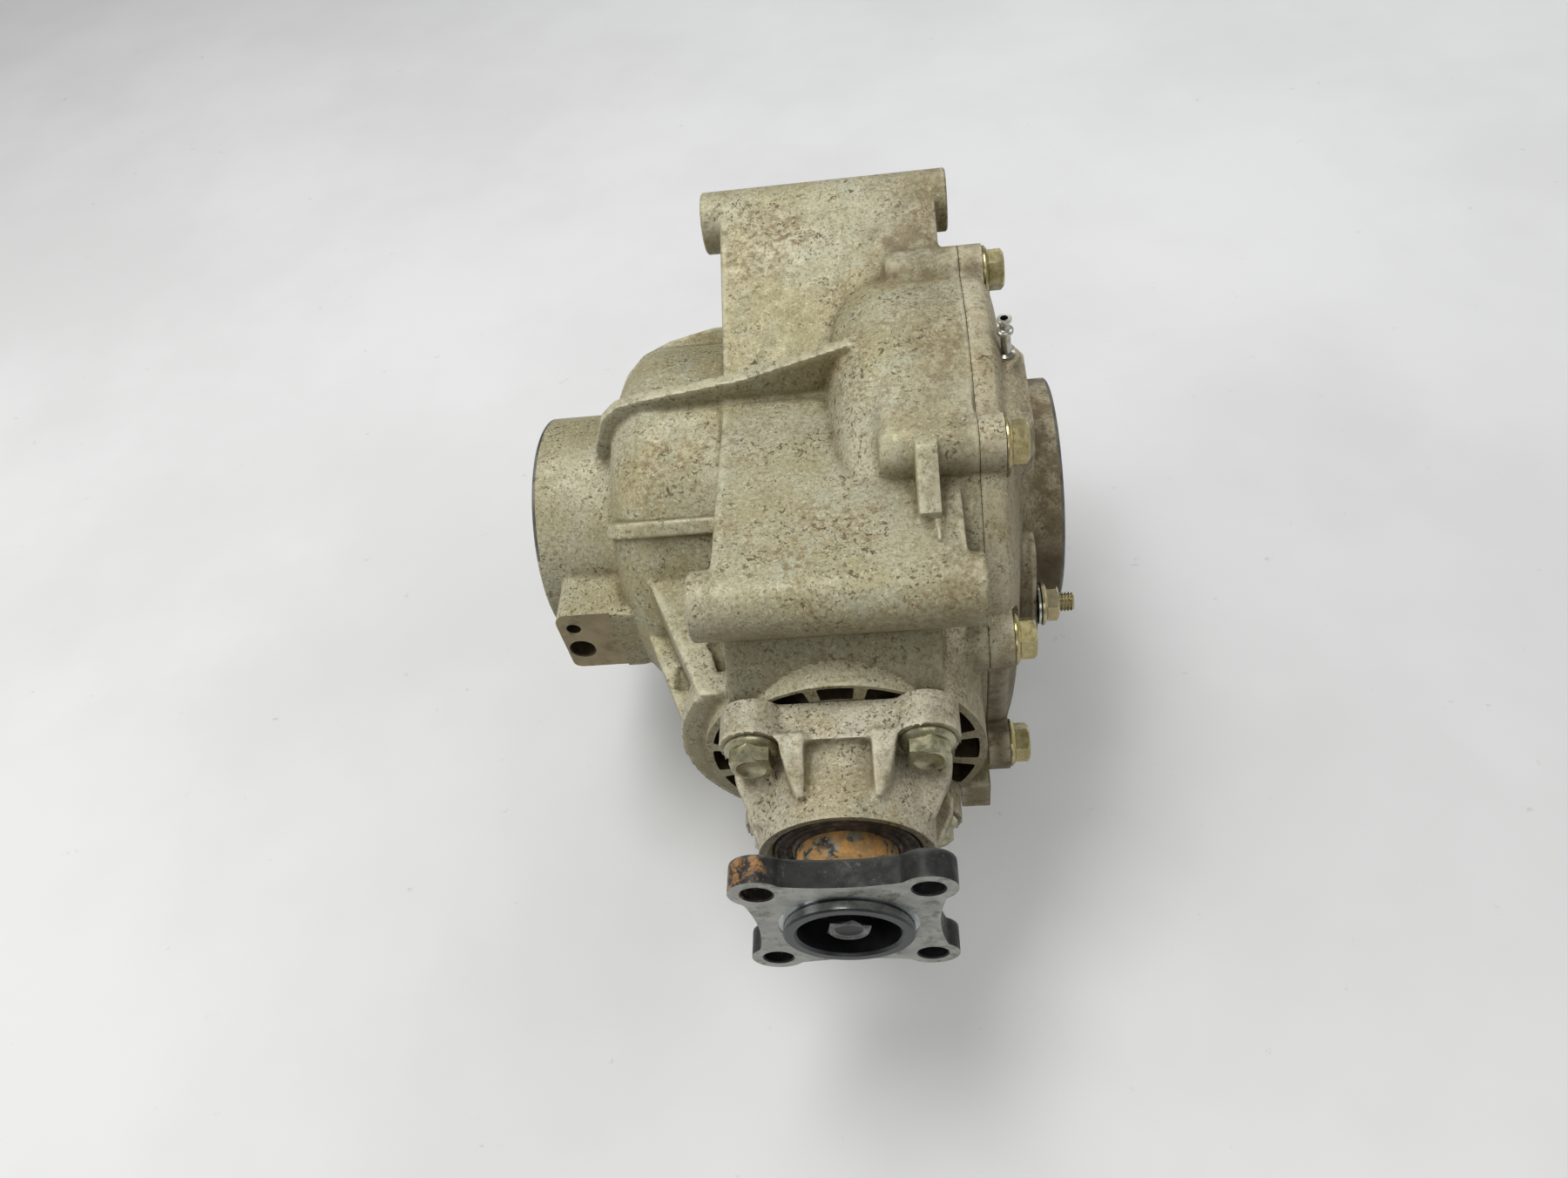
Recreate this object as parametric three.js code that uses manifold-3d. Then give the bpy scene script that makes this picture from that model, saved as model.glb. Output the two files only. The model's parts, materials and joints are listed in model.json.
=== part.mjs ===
// Rear final drive of a utility vehicle: a right-angle bevel gear case with an input
// flange at the front, a bevel differential inside and an open bell on each side for the
// axle joints. Millimetres, +Z up. While building, the origin is the centre of the input
// flange face, Y runs along the pinion shaft into the case and X runs along the axle.
// The last lines move the whole assembly so that it stands on Z = 0, centred on X and Y.

import * as THREE from 'three';
import { mergeVertices } from 'three/addons/utils/BufferGeometryUtils.js';
import { ConvexGeometry } from 'three/addons/geometries/ConvexGeometry.js';
import Module from 'manifold-3d';

const wasm = await Module();
wasm.setup();

// ---- Driving dimensions -------------------------------------------------------------

const GAP = 0.3; // running gap kept between pieces that touch
const AXLE_Y = 191.2; // input flange face to axle axis
const LEFT_RIM_X = -124.7; // outer faces of the two bells
const RIGHT_RIM_X = 90.2;
const BELL_R = 48.5;
const BELL_INNER_R = 43.5;

const BODY_R = 74.7; // left half of the case, around the differential
const BODY_LEFT_X = -87;
const DRUM_R = 100; // right half of the case, around the ring gear
const SEAM_X = 54.8; // joint plane between the case and its cover
const CAVITY_R = 87;
const BODY_CAVITY_R = 56;

// Cover bolts round the axle: degrees from +Y towards +Z, and distance from the axle.
const COVER_BOLTS = [
  [68.4, 97.8], [122, 98.5], [165, 98.5], [204.6, 107.4], [252, 98.5], [297, 98.5], [340, 98.5], [25, 98.5],
];
const COVER_BOSS_R = 10.6;
const COVER_BOSS_STARTS = [28, 20, 44, 34, 34, 34, 34, 34]; // left end of each cover boss
const LOW_BOLT = 3; // the one that stands further out, beside the neck
const COVER_FACE_X = 63.9; // seat of the cover bolts

const STRAP_LEFT_X = -39.5;
const STRAP_RIGHT_X = 47.8;
const CROSS_FIN_Y = 184.5;

const TUBE_R = 12.5; // mounting tubes across the case
const TUBE_BORE_R = 8.3;
const FRONT_TUBE = { y: 88.7, z: 66.1, left: -47.4, right: 53.4 };
const TOP_TUBE = { y: 266.6, z: 98.5, left: -47.5, right: 52.9 };

const NECK_Y = 66; // joint plane between the case and the pinion carrier
const NECK_R = 52.5;
const LOBE_R = 61.8; // swelling of the case behind the neck's left and lower edge
const TUNNEL_R = 36.2;
const CARRIER_BOLT = 30.4; // carrier bolts at (+-30.4, +-30.4)
const CARRIER_SEAT_Y = 52.5;
const CARRIER_NOSE_Y = 24.3;
const CARRIER_NOSE_R = 31.1;

const FLANGE_BOLT = 27.6; // input flange holes at (+-27.6, +-27.6)
const FLANGE_THICK = 10;
const PILOT_R = 22.4;
const PILOT_PROUD = 3.9;
const HUB_R = 18;

const BOLT_SHANK_R = 4.8; // M10 flange bolts
const BOLT_HOLE_R = 5.2;
const FLANGE_HEAD_R = 9.8;
const HEX_R = 8.1; // across corners / 2 of a 14 mm hexagon

// Bevel gears: teeth, module, face width. Both pairs stand at 90 degrees.
const RING = { teeth: 36, mate: 10, module: 4, width: 21 };
const PINION = { teeth: 10, mate: 36, module: 4, width: 21 };
const SIDE = { teeth: 16, mate: 10, module: 3, width: 8.5 };
const PLANET = { teeth: 10, mate: 16, module: 3, width: 8.5 };

const DRAIN = { x: 28, z: -104 }; // oil plugs: one under the drum, one at its back
const FILL = { x: 20, y: 291, z: 22 };
const PLUG_R = 7;

const BREATHER = { x: 69.2, y: 182, z: 86 };
const STUD = { y: 127, z: 5, from: 68, to: 91.4 };

const PIN_R = 6; // cross pin that carries the planet gears
const SIDE_HUB_R = 17.2;
const TRUNNION_R = 22.3;
const LEFT_BEARING_X = -80;
const RIGHT_BEARING_X = 49;
const DIFF_BEARING_WIDTH = 16;
const FRONT_BEARING_Y = 46;
const REAR_BEARING_Y = 92;

const radians = THREE.MathUtils.degToRad;

// ---- Solids -------------------------------------------------------------------------

const sum = (parts) => parts.reduce((whole, part) => whole.add(part));
const cut = (whole, parts) => parts.reduce((rest, part) => rest.subtract(part), whole);

function solid(geometry) {
  const bare = geometry.index ? geometry.toNonIndexed() : geometry.clone();
  bare.deleteAttribute('normal');
  bare.deleteAttribute('uv');
  const merged = mergeVertices(bare, 1e-5);
  return new wasm.Manifold(new wasm.Mesh({
    numProp: 3,
    vertProperties: new Float32Array(merged.attributes.position.array),
    triVerts: new Uint32Array(merged.index.array),
  }));
}

function geometryOf(manifold) {
  const mesh = manifold.getMesh();
  const geometry = new THREE.BufferGeometry();
  geometry.setAttribute('position', new THREE.BufferAttribute(mesh.vertProperties, 3));
  geometry.setIndex(new THREE.BufferAttribute(mesh.triVerts, 1));
  geometry.computeVertexNormals();
  return geometry;
}

function box(x0, x1, y0, y1, z0, z1) {
  const geometry = new THREE.BoxGeometry(x1 - x0, y1 - y0, z1 - z0);
  geometry.translate((x0 + x1) / 2, (y0 + y1) / 2, (z0 + z1) / 2);
  return solid(geometry);
}

// Turns a geometry made around local Y so that it stands along a named axis.
function layAlong(geometry, axis) {
  if (axis === 'X') geometry.rotateZ(-Math.PI / 2);
  if (axis === 'Z') geometry.rotateX(Math.PI / 2);
  return geometry;
}

const onAxle = [0, AXLE_Y, 0];
const onPinion = [0, 0, 0];

// Number of sides of a round. Rounds about one shaft share a count, so that the flats of
// a bore and of what sits in it stay parallel.
function sidesFor(axis, centre, radius) {
  if (axis === 'X' && centre === onAxle) return 28;
  if (axis === 'Y' && centre === onPinion) return 24;
  return Math.max(10, 4 * Math.round(0.8 * Math.sqrt(radius)));
}

// A turned solid. The profile is a list of [along, radius]: it starts and ends on the
// axis, or it closes on itself, and it goes up the outside and down the inside.
function turned(axis, profile, centre = onPinion, sides = 0) {
  const reach = Math.max(...profile.map(([, radius]) => radius));
  const segments = sides || sidesFor(axis, centre, reach);
  const closed = profile[0][1] > 0;
  const points = profile.map(([along, radius]) => new THREE.Vector2(radius, along));
  if (closed) points.push(points[0].clone());
  const geometry = layAlong(new THREE.LatheGeometry(points, segments), axis);
  geometry.translate(...centre);
  return solid(geometry);
}

function rod(axis, radius, from, to, centre = onPinion, sides = 0) {
  return turned(axis, [[from, 0], [from, radius], [to, radius], [to, 0]], centre, sides);
}

function ring(axis, inner, outer, from, to, centre = onPinion) {
  return turned(axis, [[from, inner], [from, outer], [to, outer], [to, inner]], centre);
}

// An outline of [y, z] points pushed along X, of [x, z] along Y or of [x, y] along Z.
function extruded(axis, outline, from, to, curveSegments = 6) {
  const shape = outline instanceof THREE.Shape
    ? outline
    : new THREE.Shape(outline.map(([u, v]) => new THREE.Vector2(u, v)));
  const options = { depth: to - from, bevelEnabled: false, curveSegments };
  const geometry = new THREE.ExtrudeGeometry(shape, options);
  const basis = new THREE.Matrix4();
  const [X, Y, Z] = [[1, 0, 0], [0, 1, 0], [0, 0, 1]].map((v) => new THREE.Vector3(...v));
  if (axis === 'X') basis.makeBasis(Y, Z, X).setPosition(from, 0, 0);
  else if (axis === 'Y') basis.makeBasis(X, Z, Y.clone().negate()).setPosition(0, to, 0);
  else basis.makeBasis(X, Y, Z).setPosition(0, 0, from);
  geometry.applyMatrix4(basis);
  return solid(geometry);
}

function hull(points) {
  return solid(new ConvexGeometry(points.map((p) => new THREE.Vector3(...p))));
}

function hexagon(axis, radius, from, to, centre) {
  return rod(axis, radius, from, to, centre, 6);
}

// Four-eared outline shared by the input flange and the carrier: ears on a square of
// half-width `offset`, joined by hollow flanks whose waist lies at `waist`.
function fourEars(offset, earRadius, waist) {
  const shape = new THREE.Shape();
  const sweep = radians(100);
  for (let ear = 0; ear < 4; ear += 1) {
    const heading = radians(45 + 90 * ear);
    const centre = [offset * Math.SQRT2 * Math.cos(heading), offset * Math.SQRT2 * Math.sin(heading)];
    const start = heading - sweep;
    const end = heading + sweep;
    if (ear === 0) {
      shape.moveTo(centre[0] + earRadius * Math.cos(start), centre[1] + earRadius * Math.sin(start));
    }
    shape.absarc(centre[0], centre[1], earRadius, start, end, false);
    const leave = [centre[0] + earRadius * Math.cos(end), centre[1] + earRadius * Math.sin(end)];
    const middle = heading + Math.PI / 4;
    const along = leave[0] * Math.cos(middle) + leave[1] * Math.sin(middle);
    const reach = 2 * waist - along;
    const mirror = leave[0] * -Math.sin(middle) + leave[1] * Math.cos(middle);
    const arrive = [
      along * Math.cos(middle) + mirror * Math.sin(middle),
      along * Math.sin(middle) - mirror * Math.cos(middle),
    ];
    shape.quadraticCurveTo(reach * Math.cos(middle), reach * Math.sin(middle), ...arrive);
  }
  return shape;
}

// ---- Bevel gears --------------------------------------------------------------------

// Sizes of a straight bevel gear whose pitch cone has its apex at the origin.
function bevel({ teeth, mate, module, width }) {
  const angle = Math.atan2(teeth, mate);
  const outer = (module * teeth) / 2 / Math.sin(angle);
  const point = (distance, height) => {
    const k = (distance / outer) * height;
    return [
      distance * Math.cos(angle) - k * Math.sin(angle),
      distance * Math.sin(angle) + k * Math.cos(angle),
    ];
  };
  const dedendum = 1.05 * module;
  return {
    teeth,
    module,
    outer,
    inner: outer - width,
    addendum: 0.75 * module,
    dedendum,
    point,
    rootOuter: point(outer, -dedendum),
    rootInner: point(outer - width, -dedendum),
  };
}

// One tooth as a tapered block along +X from the apex, `turn` radians round the axis.
function tooth(gear, turn) {
  const points = [];
  const levels = [
    [-gear.dedendum - 0.4, 1],
    [gear.addendum, 0.34],
  ];
  for (const distance of [gear.inner, gear.outer]) {
    for (const [height, share] of levels) {
      const [along, radius] = gear.point(distance, height);
      const half = (share * gear.module * distance) / gear.outer;
      for (const side of [-half, half]) {
        points.push([
          along,
          radius * Math.cos(turn) - side * Math.sin(turn),
          radius * Math.sin(turn) + side * Math.cos(turn),
        ]);
      }
    }
  }
  return hull(points);
}

function toothed(gear, blank, phase) {
  const teeth = [];
  for (let i = 0; i < gear.teeth; i += 1) {
    teeth.push(tooth(gear, phase + (2 * Math.PI * i) / gear.teeth));
  }
  return sum([blank, ...teeth]);
}

// Places a gear made along +X from the apex: `aim` is the direction of its axis.
function aimed(manifold, aim, centre) {
  const geometry = geometryOf(manifold);
  const from = new THREE.Vector3(1, 0, 0);
  const turn = new THREE.Quaternion().setFromUnitVectors(from, new THREE.Vector3(...aim));
  geometry.applyQuaternion(turn);
  geometry.translate(...centre);
  return geometry;
}

// ---- Housing ------------------------------------------------------------------------

const coverBoltPlaces = COVER_BOLTS.map(([angle, distance]) => [
  AXLE_Y + distance * Math.cos(radians(angle)), distance * Math.sin(radians(angle)),
]);
const carrierBoltPlaces = [[-1, 1], [1, 1], [1, -1], [-1, -1]]
  .map(([sx, sz]) => [sx * CARRIER_BOLT, sz * CARRIER_BOLT]);

// Point on a round of radius `radius` about [y, z], in the direction of a unit normal.
const onRound = ([y, z], radius, [ny, nz]) => [y + ny * radius, z + nz * radius];

// Normal of the plane that lies over two rounds of radius r1 and r2.
function tangentNormal([y1, z1], r1, [y2, z2], r2) {
  const heading = Math.atan2(z2 - z1, y2 - y1);
  const lean = Math.acos((r1 - r2) / Math.hypot(y2 - y1, z2 - z1));
  return [Math.cos(heading + lean), Math.sin(heading + lean)];
}

// Web over the front of the case: a plate that lies tangent to the front tube and to the
// body. Behind the cross fin an arm goes on up to the top tube and leaves the drum proud.
function strap() {
  const frontTube = [FRONT_TUBE.y, FRONT_TUBE.z];
  const axle = [AXLE_Y, 0];
  const normal = tangentNormal(frontTube, TUBE_R, axle, BODY_R);
  const plate = extruded('X', [
    onRound(frontTube, TUBE_R, normal), frontTube, [98, 50], [128, 30], [180, 55], [194, 60],
    onRound(axle, BODY_R, normal),
  ], STRAP_LEFT_X, STRAP_RIGHT_X);
  const { y, z } = TOP_TUBE;
  const arm = hull([
    ...[STRAP_LEFT_X, STRAP_RIGHT_X].flatMap((x) => [
      [x, y - 2.2, z + TUBE_R - 0.2], [x, y, z], [x, y - 4, z - 6], [x, 198, 66],
    ]),
    [STRAP_LEFT_X, CROSS_FIN_Y + 2, 77], [STRAP_RIGHT_X, CROSS_FIN_Y + 2, 80],
    [STRAP_LEFT_X, CROSS_FIN_Y + 2, 66], [STRAP_RIGHT_X, CROSS_FIN_Y + 2, 66],
  ]);
  const ribs = [STRAP_LEFT_X + 2, 0].map((x) => (
    extruded('X', [[258, 100], [200, 80], [200, 55], [238, 52]], x, x + 7)));
  return sum([plate, arm, ...ribs]);
}

function mountTube({ y, z, left, right }) {
  return rod('X', TUBE_R, left, right, [0, y, z]);
}

// Fins cast on the left half of the case: a cross fin that climbs to the drum, and two
// fins that stand radially on the body, one in front and one behind.
function bodyFins() {
  const crossFin = extruded('Y', [
    [-96, 44], [-96, 55], [-90, 70], [-83, 76.5], [-72, 79.2], [-31, 85.3], [11, 97.5], [30, 97.5],
    [30, 60], [-60, 55],
  ], CROSS_FIN_Y - 2.5, CROSS_FIN_Y + 2.5);
  const radialFin = (angle, crest) => {
    const outline = [[crest[0][0], 50], ...crest, [-37, crest.at(-1)[1]], [-37, 50]];
    const geometry = geometryOf(extruded('Y', outline, -3, 3));
    geometry.rotateX(radians(angle));
    geometry.translate(0, AXLE_Y, 0);
    return solid(geometry);
  };
  const front = [[-90, 64], [-87, 73], [-81, 78.5], [-74, 80]];
  const rear = [[-93.5, 53.3], [-91.7, 58.5], [-88.2, 65], [-80.3, 72.6], [-68.1, 77.5], [-48.4, 81.6]];
  return sum([crossFin, radialFin(45, front), radialFin(-39, rear)]);
}

// Neck that carries the pinion: a round flange, the taper that blends it into the body
// and the block with a sloping top that stands between the neck and the front tube.
function neck() {
  const arc = (radius, y, from, to, count) => Array.from({ length: count }, (_, i) => {
    const a = radians(from + ((to - from) * i) / count);
    return [radius * Math.cos(a), y, radius * Math.sin(a)];
  });
  const seam = SEAM_X - GAP;
  const rear = arc(NECK_R - 1.5, 80, 0, 360, 32);
  const lobe = hull([...rear, ...arc(LOBE_R, 71, 148, 234, 9), ...arc(LOBE_R, 80, 146, 244, 9)]);
  const right = hull([
    ...rear, [seam, 128, 44], [seam, 128, -52], [seam, 104, 34], [seam, 104, -44],
    [-40, 130, 34], [-40, 130, -44],
  ]);
  const left = hull([
    ...arc(LOBE_R, 79, 172, 244, 8), ...arc(30, 79, 172, 244, 3),
    [-80, 138, 8], [-80, 138, -34], [-68, 134, -44], [-40, 130, 8], [-40, 130, -44],
  ]);
  const flange = rod('Y', NECK_R, NECK_Y, 82);
  const block = extruded('X', [[NECK_Y, 10], [NECK_Y, 35], [84, 56], [104, 62], [112, 10]], -38.5, 37.4);
  const slope = extruded('X', [[NECK_Y - 1, 35], [84, 56], [84, 70], [NECK_Y - 1, 70]], -70, 70);
  const tunnel = rod('Y', 46.5, NECK_Y, 96);
  return sum([cut(sum([flange, block]), [slope]), tunnel, lobe, right, left]);
}

// Pockets in the neck flange, three between each pair of carrier bolts.
function neckPockets() {
  const pockets = [];
  for (let side = 0; side < 4; side += 1) {
    const outer = side === 1 ? 45 : 49.6;
    for (const offset of [-23, 0, 23]) {
      const middle = radians(90 * side + offset);
      const half = radians(8.5);
      const shape = new THREE.Shape();
      shape.absarc(0, 0, outer, middle - half, middle + half, false);
      shape.absarc(0, 0, 40.5, middle + half, middle - half, true);
      pockets.push(extruded('Y', shape, NECK_Y - 1, NECK_Y + 14, 2));
    }
  }
  return pockets;
}

function mainCase() {
  const seam = SEAM_X - GAP;
  const shell = turned('X', [
    [BODY_LEFT_X, 0], [BODY_LEFT_X, 61], [-80.5, 65.5], [-77.5, 68.8], [-73, BODY_R],
    [0, BODY_R], [3, 86], [8, 95], [15, 99], [24, DRUM_R], [seam, DRUM_R], [seam, 0],
  ], onAxle);
  const bell = rod('X', BELL_R, LEFT_RIM_X, BODY_LEFT_X + 4, onAxle);
  const bosses = coverBoltPlaces.map(([y, z], index) => {
    const start = COVER_BOSS_STARTS[index];
    const profile = [[start, 0], [start, 7], [start + 6, COVER_BOSS_R], [seam, COVER_BOSS_R], [seam, 0]];
    return turned('X', profile, [0, y, z]);
  });
  const bossWebs = coverBoltPlaces.slice(2, 4).map(([y, z]) => hull([
    [42, y - 8, z - 6], [seam, y - 8, z - 6], [42, y - 8, z + 6], [seam, y - 8, z + 6],
    [42, 130, z * 0.6 - 8], [seam, 130, z * 0.6 - 8], [42, 130, z * 0.6 + 8], [seam, 130, z * 0.6 + 8],
  ]));
  const lugOutline = [[-117, -16], [-115, -18], [-84, -18], [-84, 18], [-113, 18], [-117, 14]];
  const lug = extruded('Y', lugOutline, 126, 176);
  const gusset = extruded('X', [[109.5, 70], [110, 82], [130, 94], [140, 94.5], [140, 70]], 32.9, 39.9);
  const foot = hull([
    [43, 72, -40], [43, 72, -58], [SEAM_X, 72, -40], [SEAM_X, 72, -58],
    [43, 120, -40], [43, 120, -70], [SEAM_X - GAP, 120, -40], [SEAM_X - GAP, 120, -70],
  ]);
  const sideRibs = [
    extruded('Z', [
      [-75, 131], [-73, 126], [-50.8, 74.9], [-49, 72], [-38, 72], [-38.9, 80.9], [-43.1, 81.5],
      [-45.9, 91], [-48.8, 95], [-40, 97], [-40, 132],
    ], 2, 36.5),
    extruded('Z', [
      [-80, 124], [-77.8, 118.7], [-61.3, 78.7], [-58, 73], [-48, 73], [-57, 91.9], [-64.9, 91.9],
      [-64.9, 102.1], [-62, 104], [-68, 124],
    ], -16, 10.5),
  ];
  const drainBoss = rod('Z', 13, DRAIN.z, -80, [DRAIN.x, AXLE_Y, 0]);
  const fillBoss = rod('Y', 14, FILL.y - 24, FILL.y, [FILL.x, 0, FILL.z]);
  const outside = sum([shell, bell, ...bosses, ...bossWebs, strap(), mountTube(FRONT_TUBE),
    mountTube(TOP_TUBE), bodyFins(), neck(), lug, gusset, foot, ...sideRibs, drainBoss, fillBoss]);

  const cavity = turned('X', [
    [LEFT_RIM_X - 1, 0], [LEFT_RIM_X - 1, BELL_INNER_R], [-98, BELL_INNER_R], [-95, 40],
    [-95, 30.3], [-85.5, 30.3], [-85.5, 34], [-84, 34], [-84, 37.7], [-60, 37.7], [-60, BODY_CAVITY_R],
    [-2, BODY_CAVITY_R], [8, 78], [13, CAVITY_R], [SEAM_X + 1, CAVITY_R], [SEAM_X + 1, 0],
  ], onAxle);
  const tunnel = turned('Y', [
    [NECK_Y - 1, 0], [NECK_Y - 1, TUNNEL_R], [109.6, TUNNEL_R], [109.6, 30], [150, 30], [150, 0],
  ]);
  const bores = [FRONT_TUBE, TOP_TUBE].map(({ y, z, left, right }) => (
    rod('X', TUBE_BORE_R, left - 1, right + 1, [0, y, z])));
  const coverHoles = coverBoltPlaces.map(([y, z], index) => (
    rod('X', BOLT_HOLE_R, index === 2 ? 46 : 36, SEAM_X + 1, [0, y, z])));
  const carrierHoles = carrierBoltPlaces.map(([x, z]) => rod('Y', BOLT_HOLE_R, NECK_Y - 1, 90, [x, 0, z]));
  const lugHoles = [
    rod('Y', 3, 125, 150, [-110.5, 0, 8.5]),
    rod('Y', 5.2, 125, 150, [-110.3, 0, -5.4]),
  ];
  const drainHole = rod('Z', PLUG_R + GAP, DRAIN.z - 1, -70, [DRAIN.x, AXLE_Y, 0]);
  const fillHole = rod('Y', PLUG_R + GAP, FILL.y - 40, FILL.y + 1, [FILL.x, 0, FILL.z]);
  return cut(outside, [cavity, tunnel, ...bores, ...coverHoles, ...carrierHoles, ...lugHoles,
    drainHole, fillHole, ...neckPockets()]);
}

function sideCover() {
  const face = SEAM_X + GAP;
  const shell = turned('X', [
    [face, 0], [face, DRUM_R], [61, DRUM_R], [64.5, 96], [67.5, 86], [70, 70], [72.5, 58],
    [74, BELL_R], [RIGHT_RIM_X, BELL_R], [RIGHT_RIM_X, 0],
  ], onAxle);
  const bosses = coverBoltPlaces.map(([y, z]) => rod('X', COVER_BOSS_R, face, COVER_FACE_X, [0, y, z]));
  const chamberFoot = [[138, 60], [140, 80], [160, 90], [200, 90], [206, 70], [165, 44]];
  const chamberTop = [[149, 58], [148, 68], [154, 77], [190, 79], [195, 72], [168, 48]];
  const chamber = hull([
    ...chamberFoot.map(([y, z]) => [62, y, z]),
    ...chamberTop.map(([y, z]) => [76.5, y, z]),
  ]);
  const breatherBoss = rod('Z', 5.2, 72, BREATHER.z, [BREATHER.x, BREATHER.y, 0]);
  const lug = new THREE.Shape();
  lug.absarc(STUD.y + 3, STUD.z - 4, 12.5, Math.PI, 0, false);
  lug.lineTo(STUD.y + 27, STUD.z + 12);
  lug.absarc(STUD.y + 13, STUD.z + 14, 11, 0, Math.PI, false);
  const studLug = extruded('X', lug, 60, 77);
  const [lowY, lowZ] = coverBoltPlaces[LOW_BOLT];
  const lowWeb = hull([face, COVER_FACE_X].flatMap((x) => [
    [x, lowY - 6, lowZ + 8], [x, lowY + 6, lowZ - 8], [x, lowY + 18, lowZ + 14], [x, lowY + 26, lowZ - 4],
  ]));
  const outside = sum([shell, ...bosses, lowWeb, chamber, breatherBoss, studLug]);

  const hollow = turned('X', [
    [face - 1, 44.5], [face - 1, CAVITY_R], [57, CAVITY_R], [60, 82], [64, 60], [64, 44.5],
  ], onAxle);
  const bore = turned('X', [
    [face - 1, 0], [face - 1, 37.7], [65.5, 37.7], [65.5, 34], [67, 34], [67, 30.3], [75.5, 30.3],
    [75.5, 40], [78, BELL_INNER_R], [RIGHT_RIM_X + 1, BELL_INNER_R], [RIGHT_RIM_X + 1, 0],
  ], onAxle);
  const holes = coverBoltPlaces.map(([y, z]) => (
    rod('X', BOLT_HOLE_R, face - 1, COVER_FACE_X + 1, [0, y, z])));
  const spotFaces = coverBoltPlaces.map(([y, z]) => (
    rod('X', COVER_BOSS_R + 0.3, COVER_FACE_X, 80, [0, y, z])));
  const breatherHole = rod('Z', 1.9, 66, BREATHER.z + 1, [BREATHER.x, BREATHER.y, 0]);
  const breatherSeat = rod('Z', 3.6, BREATHER.z, 106, [BREATHER.x, BREATHER.y, 0]);
  const studHole = rod('X', 4.2, 66, 78, [0, STUD.y, STUD.z]);
  return cut(outside, [hollow, bore, ...holes, ...spotFaces, breatherHole, breatherSeat, studHole])
    .add(ring('X', 37.7, 44.5, RIGHT_BEARING_X - 1, 66, onAxle));
}

function pinionCarrier() {
  const ears = extruded('Y', fourEars(CARRIER_BOLT, 11.7, 37), CARRIER_SEAT_Y, NECK_Y - GAP);
  const nose = turned('Y', [
    [CARRIER_NOSE_Y, 0], [CARRIER_NOSE_Y, CARRIER_NOSE_R], [44, 31.4], [48.5, 32.2],
    [CARRIER_SEAT_Y + 1, 35.5], [CARRIER_SEAT_Y + 1, 0],
  ]);
  const spigot = rod('Y', TUNNEL_R - GAP, NECK_Y - 1, 79);
  const webs = [];
  for (const turn of [0, 90, 180, 270]) {
    for (const lean of [-1, 1]) {
      const web = hull([
        [lean * 11.5, 31.5, 26], [lean * 15.5, 31.5, 26], [lean * 12, 31.5, 31.4], [lean * 14, 31.5, 31.4],
        [lean * 11, CARRIER_SEAT_Y + 1, 26], [lean * 22, CARRIER_SEAT_Y + 1, 26],
        [lean * 11.4, CARRIER_SEAT_Y + 1, 39], [lean * 20.5, CARRIER_SEAT_Y + 1, 39],
      ]);
      const geometry = geometryOf(web);
      geometry.rotateY(radians(turn));
      webs.push(solid(geometry));
    }
  }
  const seats = carrierBoltPlaces.map(([x, z]) => (
    rod('Y', 12, 20, CARRIER_SEAT_Y, [x, 0, z])));
  const body = cut(sum([nose, ...webs]), seats);
  const bore = turned('Y', [
    [CARRIER_NOSE_Y - 1, 0], [CARRIER_NOSE_Y - 1, 27.6], [CARRIER_NOSE_Y + 1.2, 26.3], [34, 26.3],
    [34, 22], [44, 22], [44, 31.3], [80, 31.3], [80, 0],
  ]);
  const groove = ring('Y', TUNNEL_R - 2.6, TUNNEL_R + 1, 69.8, 72.4);
  const holes = carrierBoltPlaces.map(([x, z]) => (
    rod('Y', BOLT_HOLE_R, CARRIER_SEAT_Y - 1, NECK_Y, [x, 0, z])));
  return cut(sum([ears, body, spigot]), [bore, groove, ...holes]);
}

// ---- Fasteners and small fittings ---------------------------------------------------

// Flange bolt whose head points back along the axis: `sign` is the heading of the head.
function flangeBolt(axis, seat, tip, sign, centre) {
  const band = (a, b) => [seat + sign * a, seat + sign * b].sort((low, high) => low - high);
  const [w0, w1] = band(0.05, 2);
  const [h0, h1] = band(1.5, 8.4);
  const [s0, s1] = band(1, -Math.abs(seat - tip));
  const flange = turned(axis, sign > 0
    ? [[w0, 0], [w0, FLANGE_HEAD_R], [w0 + 0.8, FLANGE_HEAD_R], [w1, HEX_R + 0.3], [w1, 0]]
    : [[w0, 0], [w0, HEX_R + 0.3], [w1 - 0.8, FLANGE_HEAD_R], [w1, FLANGE_HEAD_R], [w1, 0]], centre);
  return sum([flange, hexagon(axis, HEX_R, h0, h1, centre), rod(axis, BOLT_SHANK_R, s0, s1, centre)]);
}

function breatherFitting() {
  const base = BREATHER.z;
  const stem = turned('Z', [
    [base - 8, 0], [base - 8, 1.6], [base + 0.3, 1.6], [base + 0.3, 3.2], [base + 1.2, 3.2],
    [base + 1.8, 1.9], [base + 10.6, 1.9], [base + 10.6, 3.1], [base + 12.4, 3.1], [base + 13, 1.9],
    [base + 15.6, 1.9], [base + 16, 2.7], [base + 17.7, 2.7], [base + 17.7, 0],
  ], [BREATHER.x, BREATHER.y, 0]);
  return stem.subtract(rod('Z', 1, base - 9, base + 18, [BREATHER.x, BREATHER.y, 0]));
}

function hexPlug(axis, seat, sign, centre) {
  const span = (a, b) => [seat + sign * a, seat + sign * b].sort((low, high) => low - high);
  return sum([
    rod(axis, 11.5, ...span(GAP, 2.5), centre),
    hexagon(axis, 9.8, ...span(2, 7), centre),
    rod(axis, PLUG_R, ...span(1, -10), centre),
  ]);
}

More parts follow.
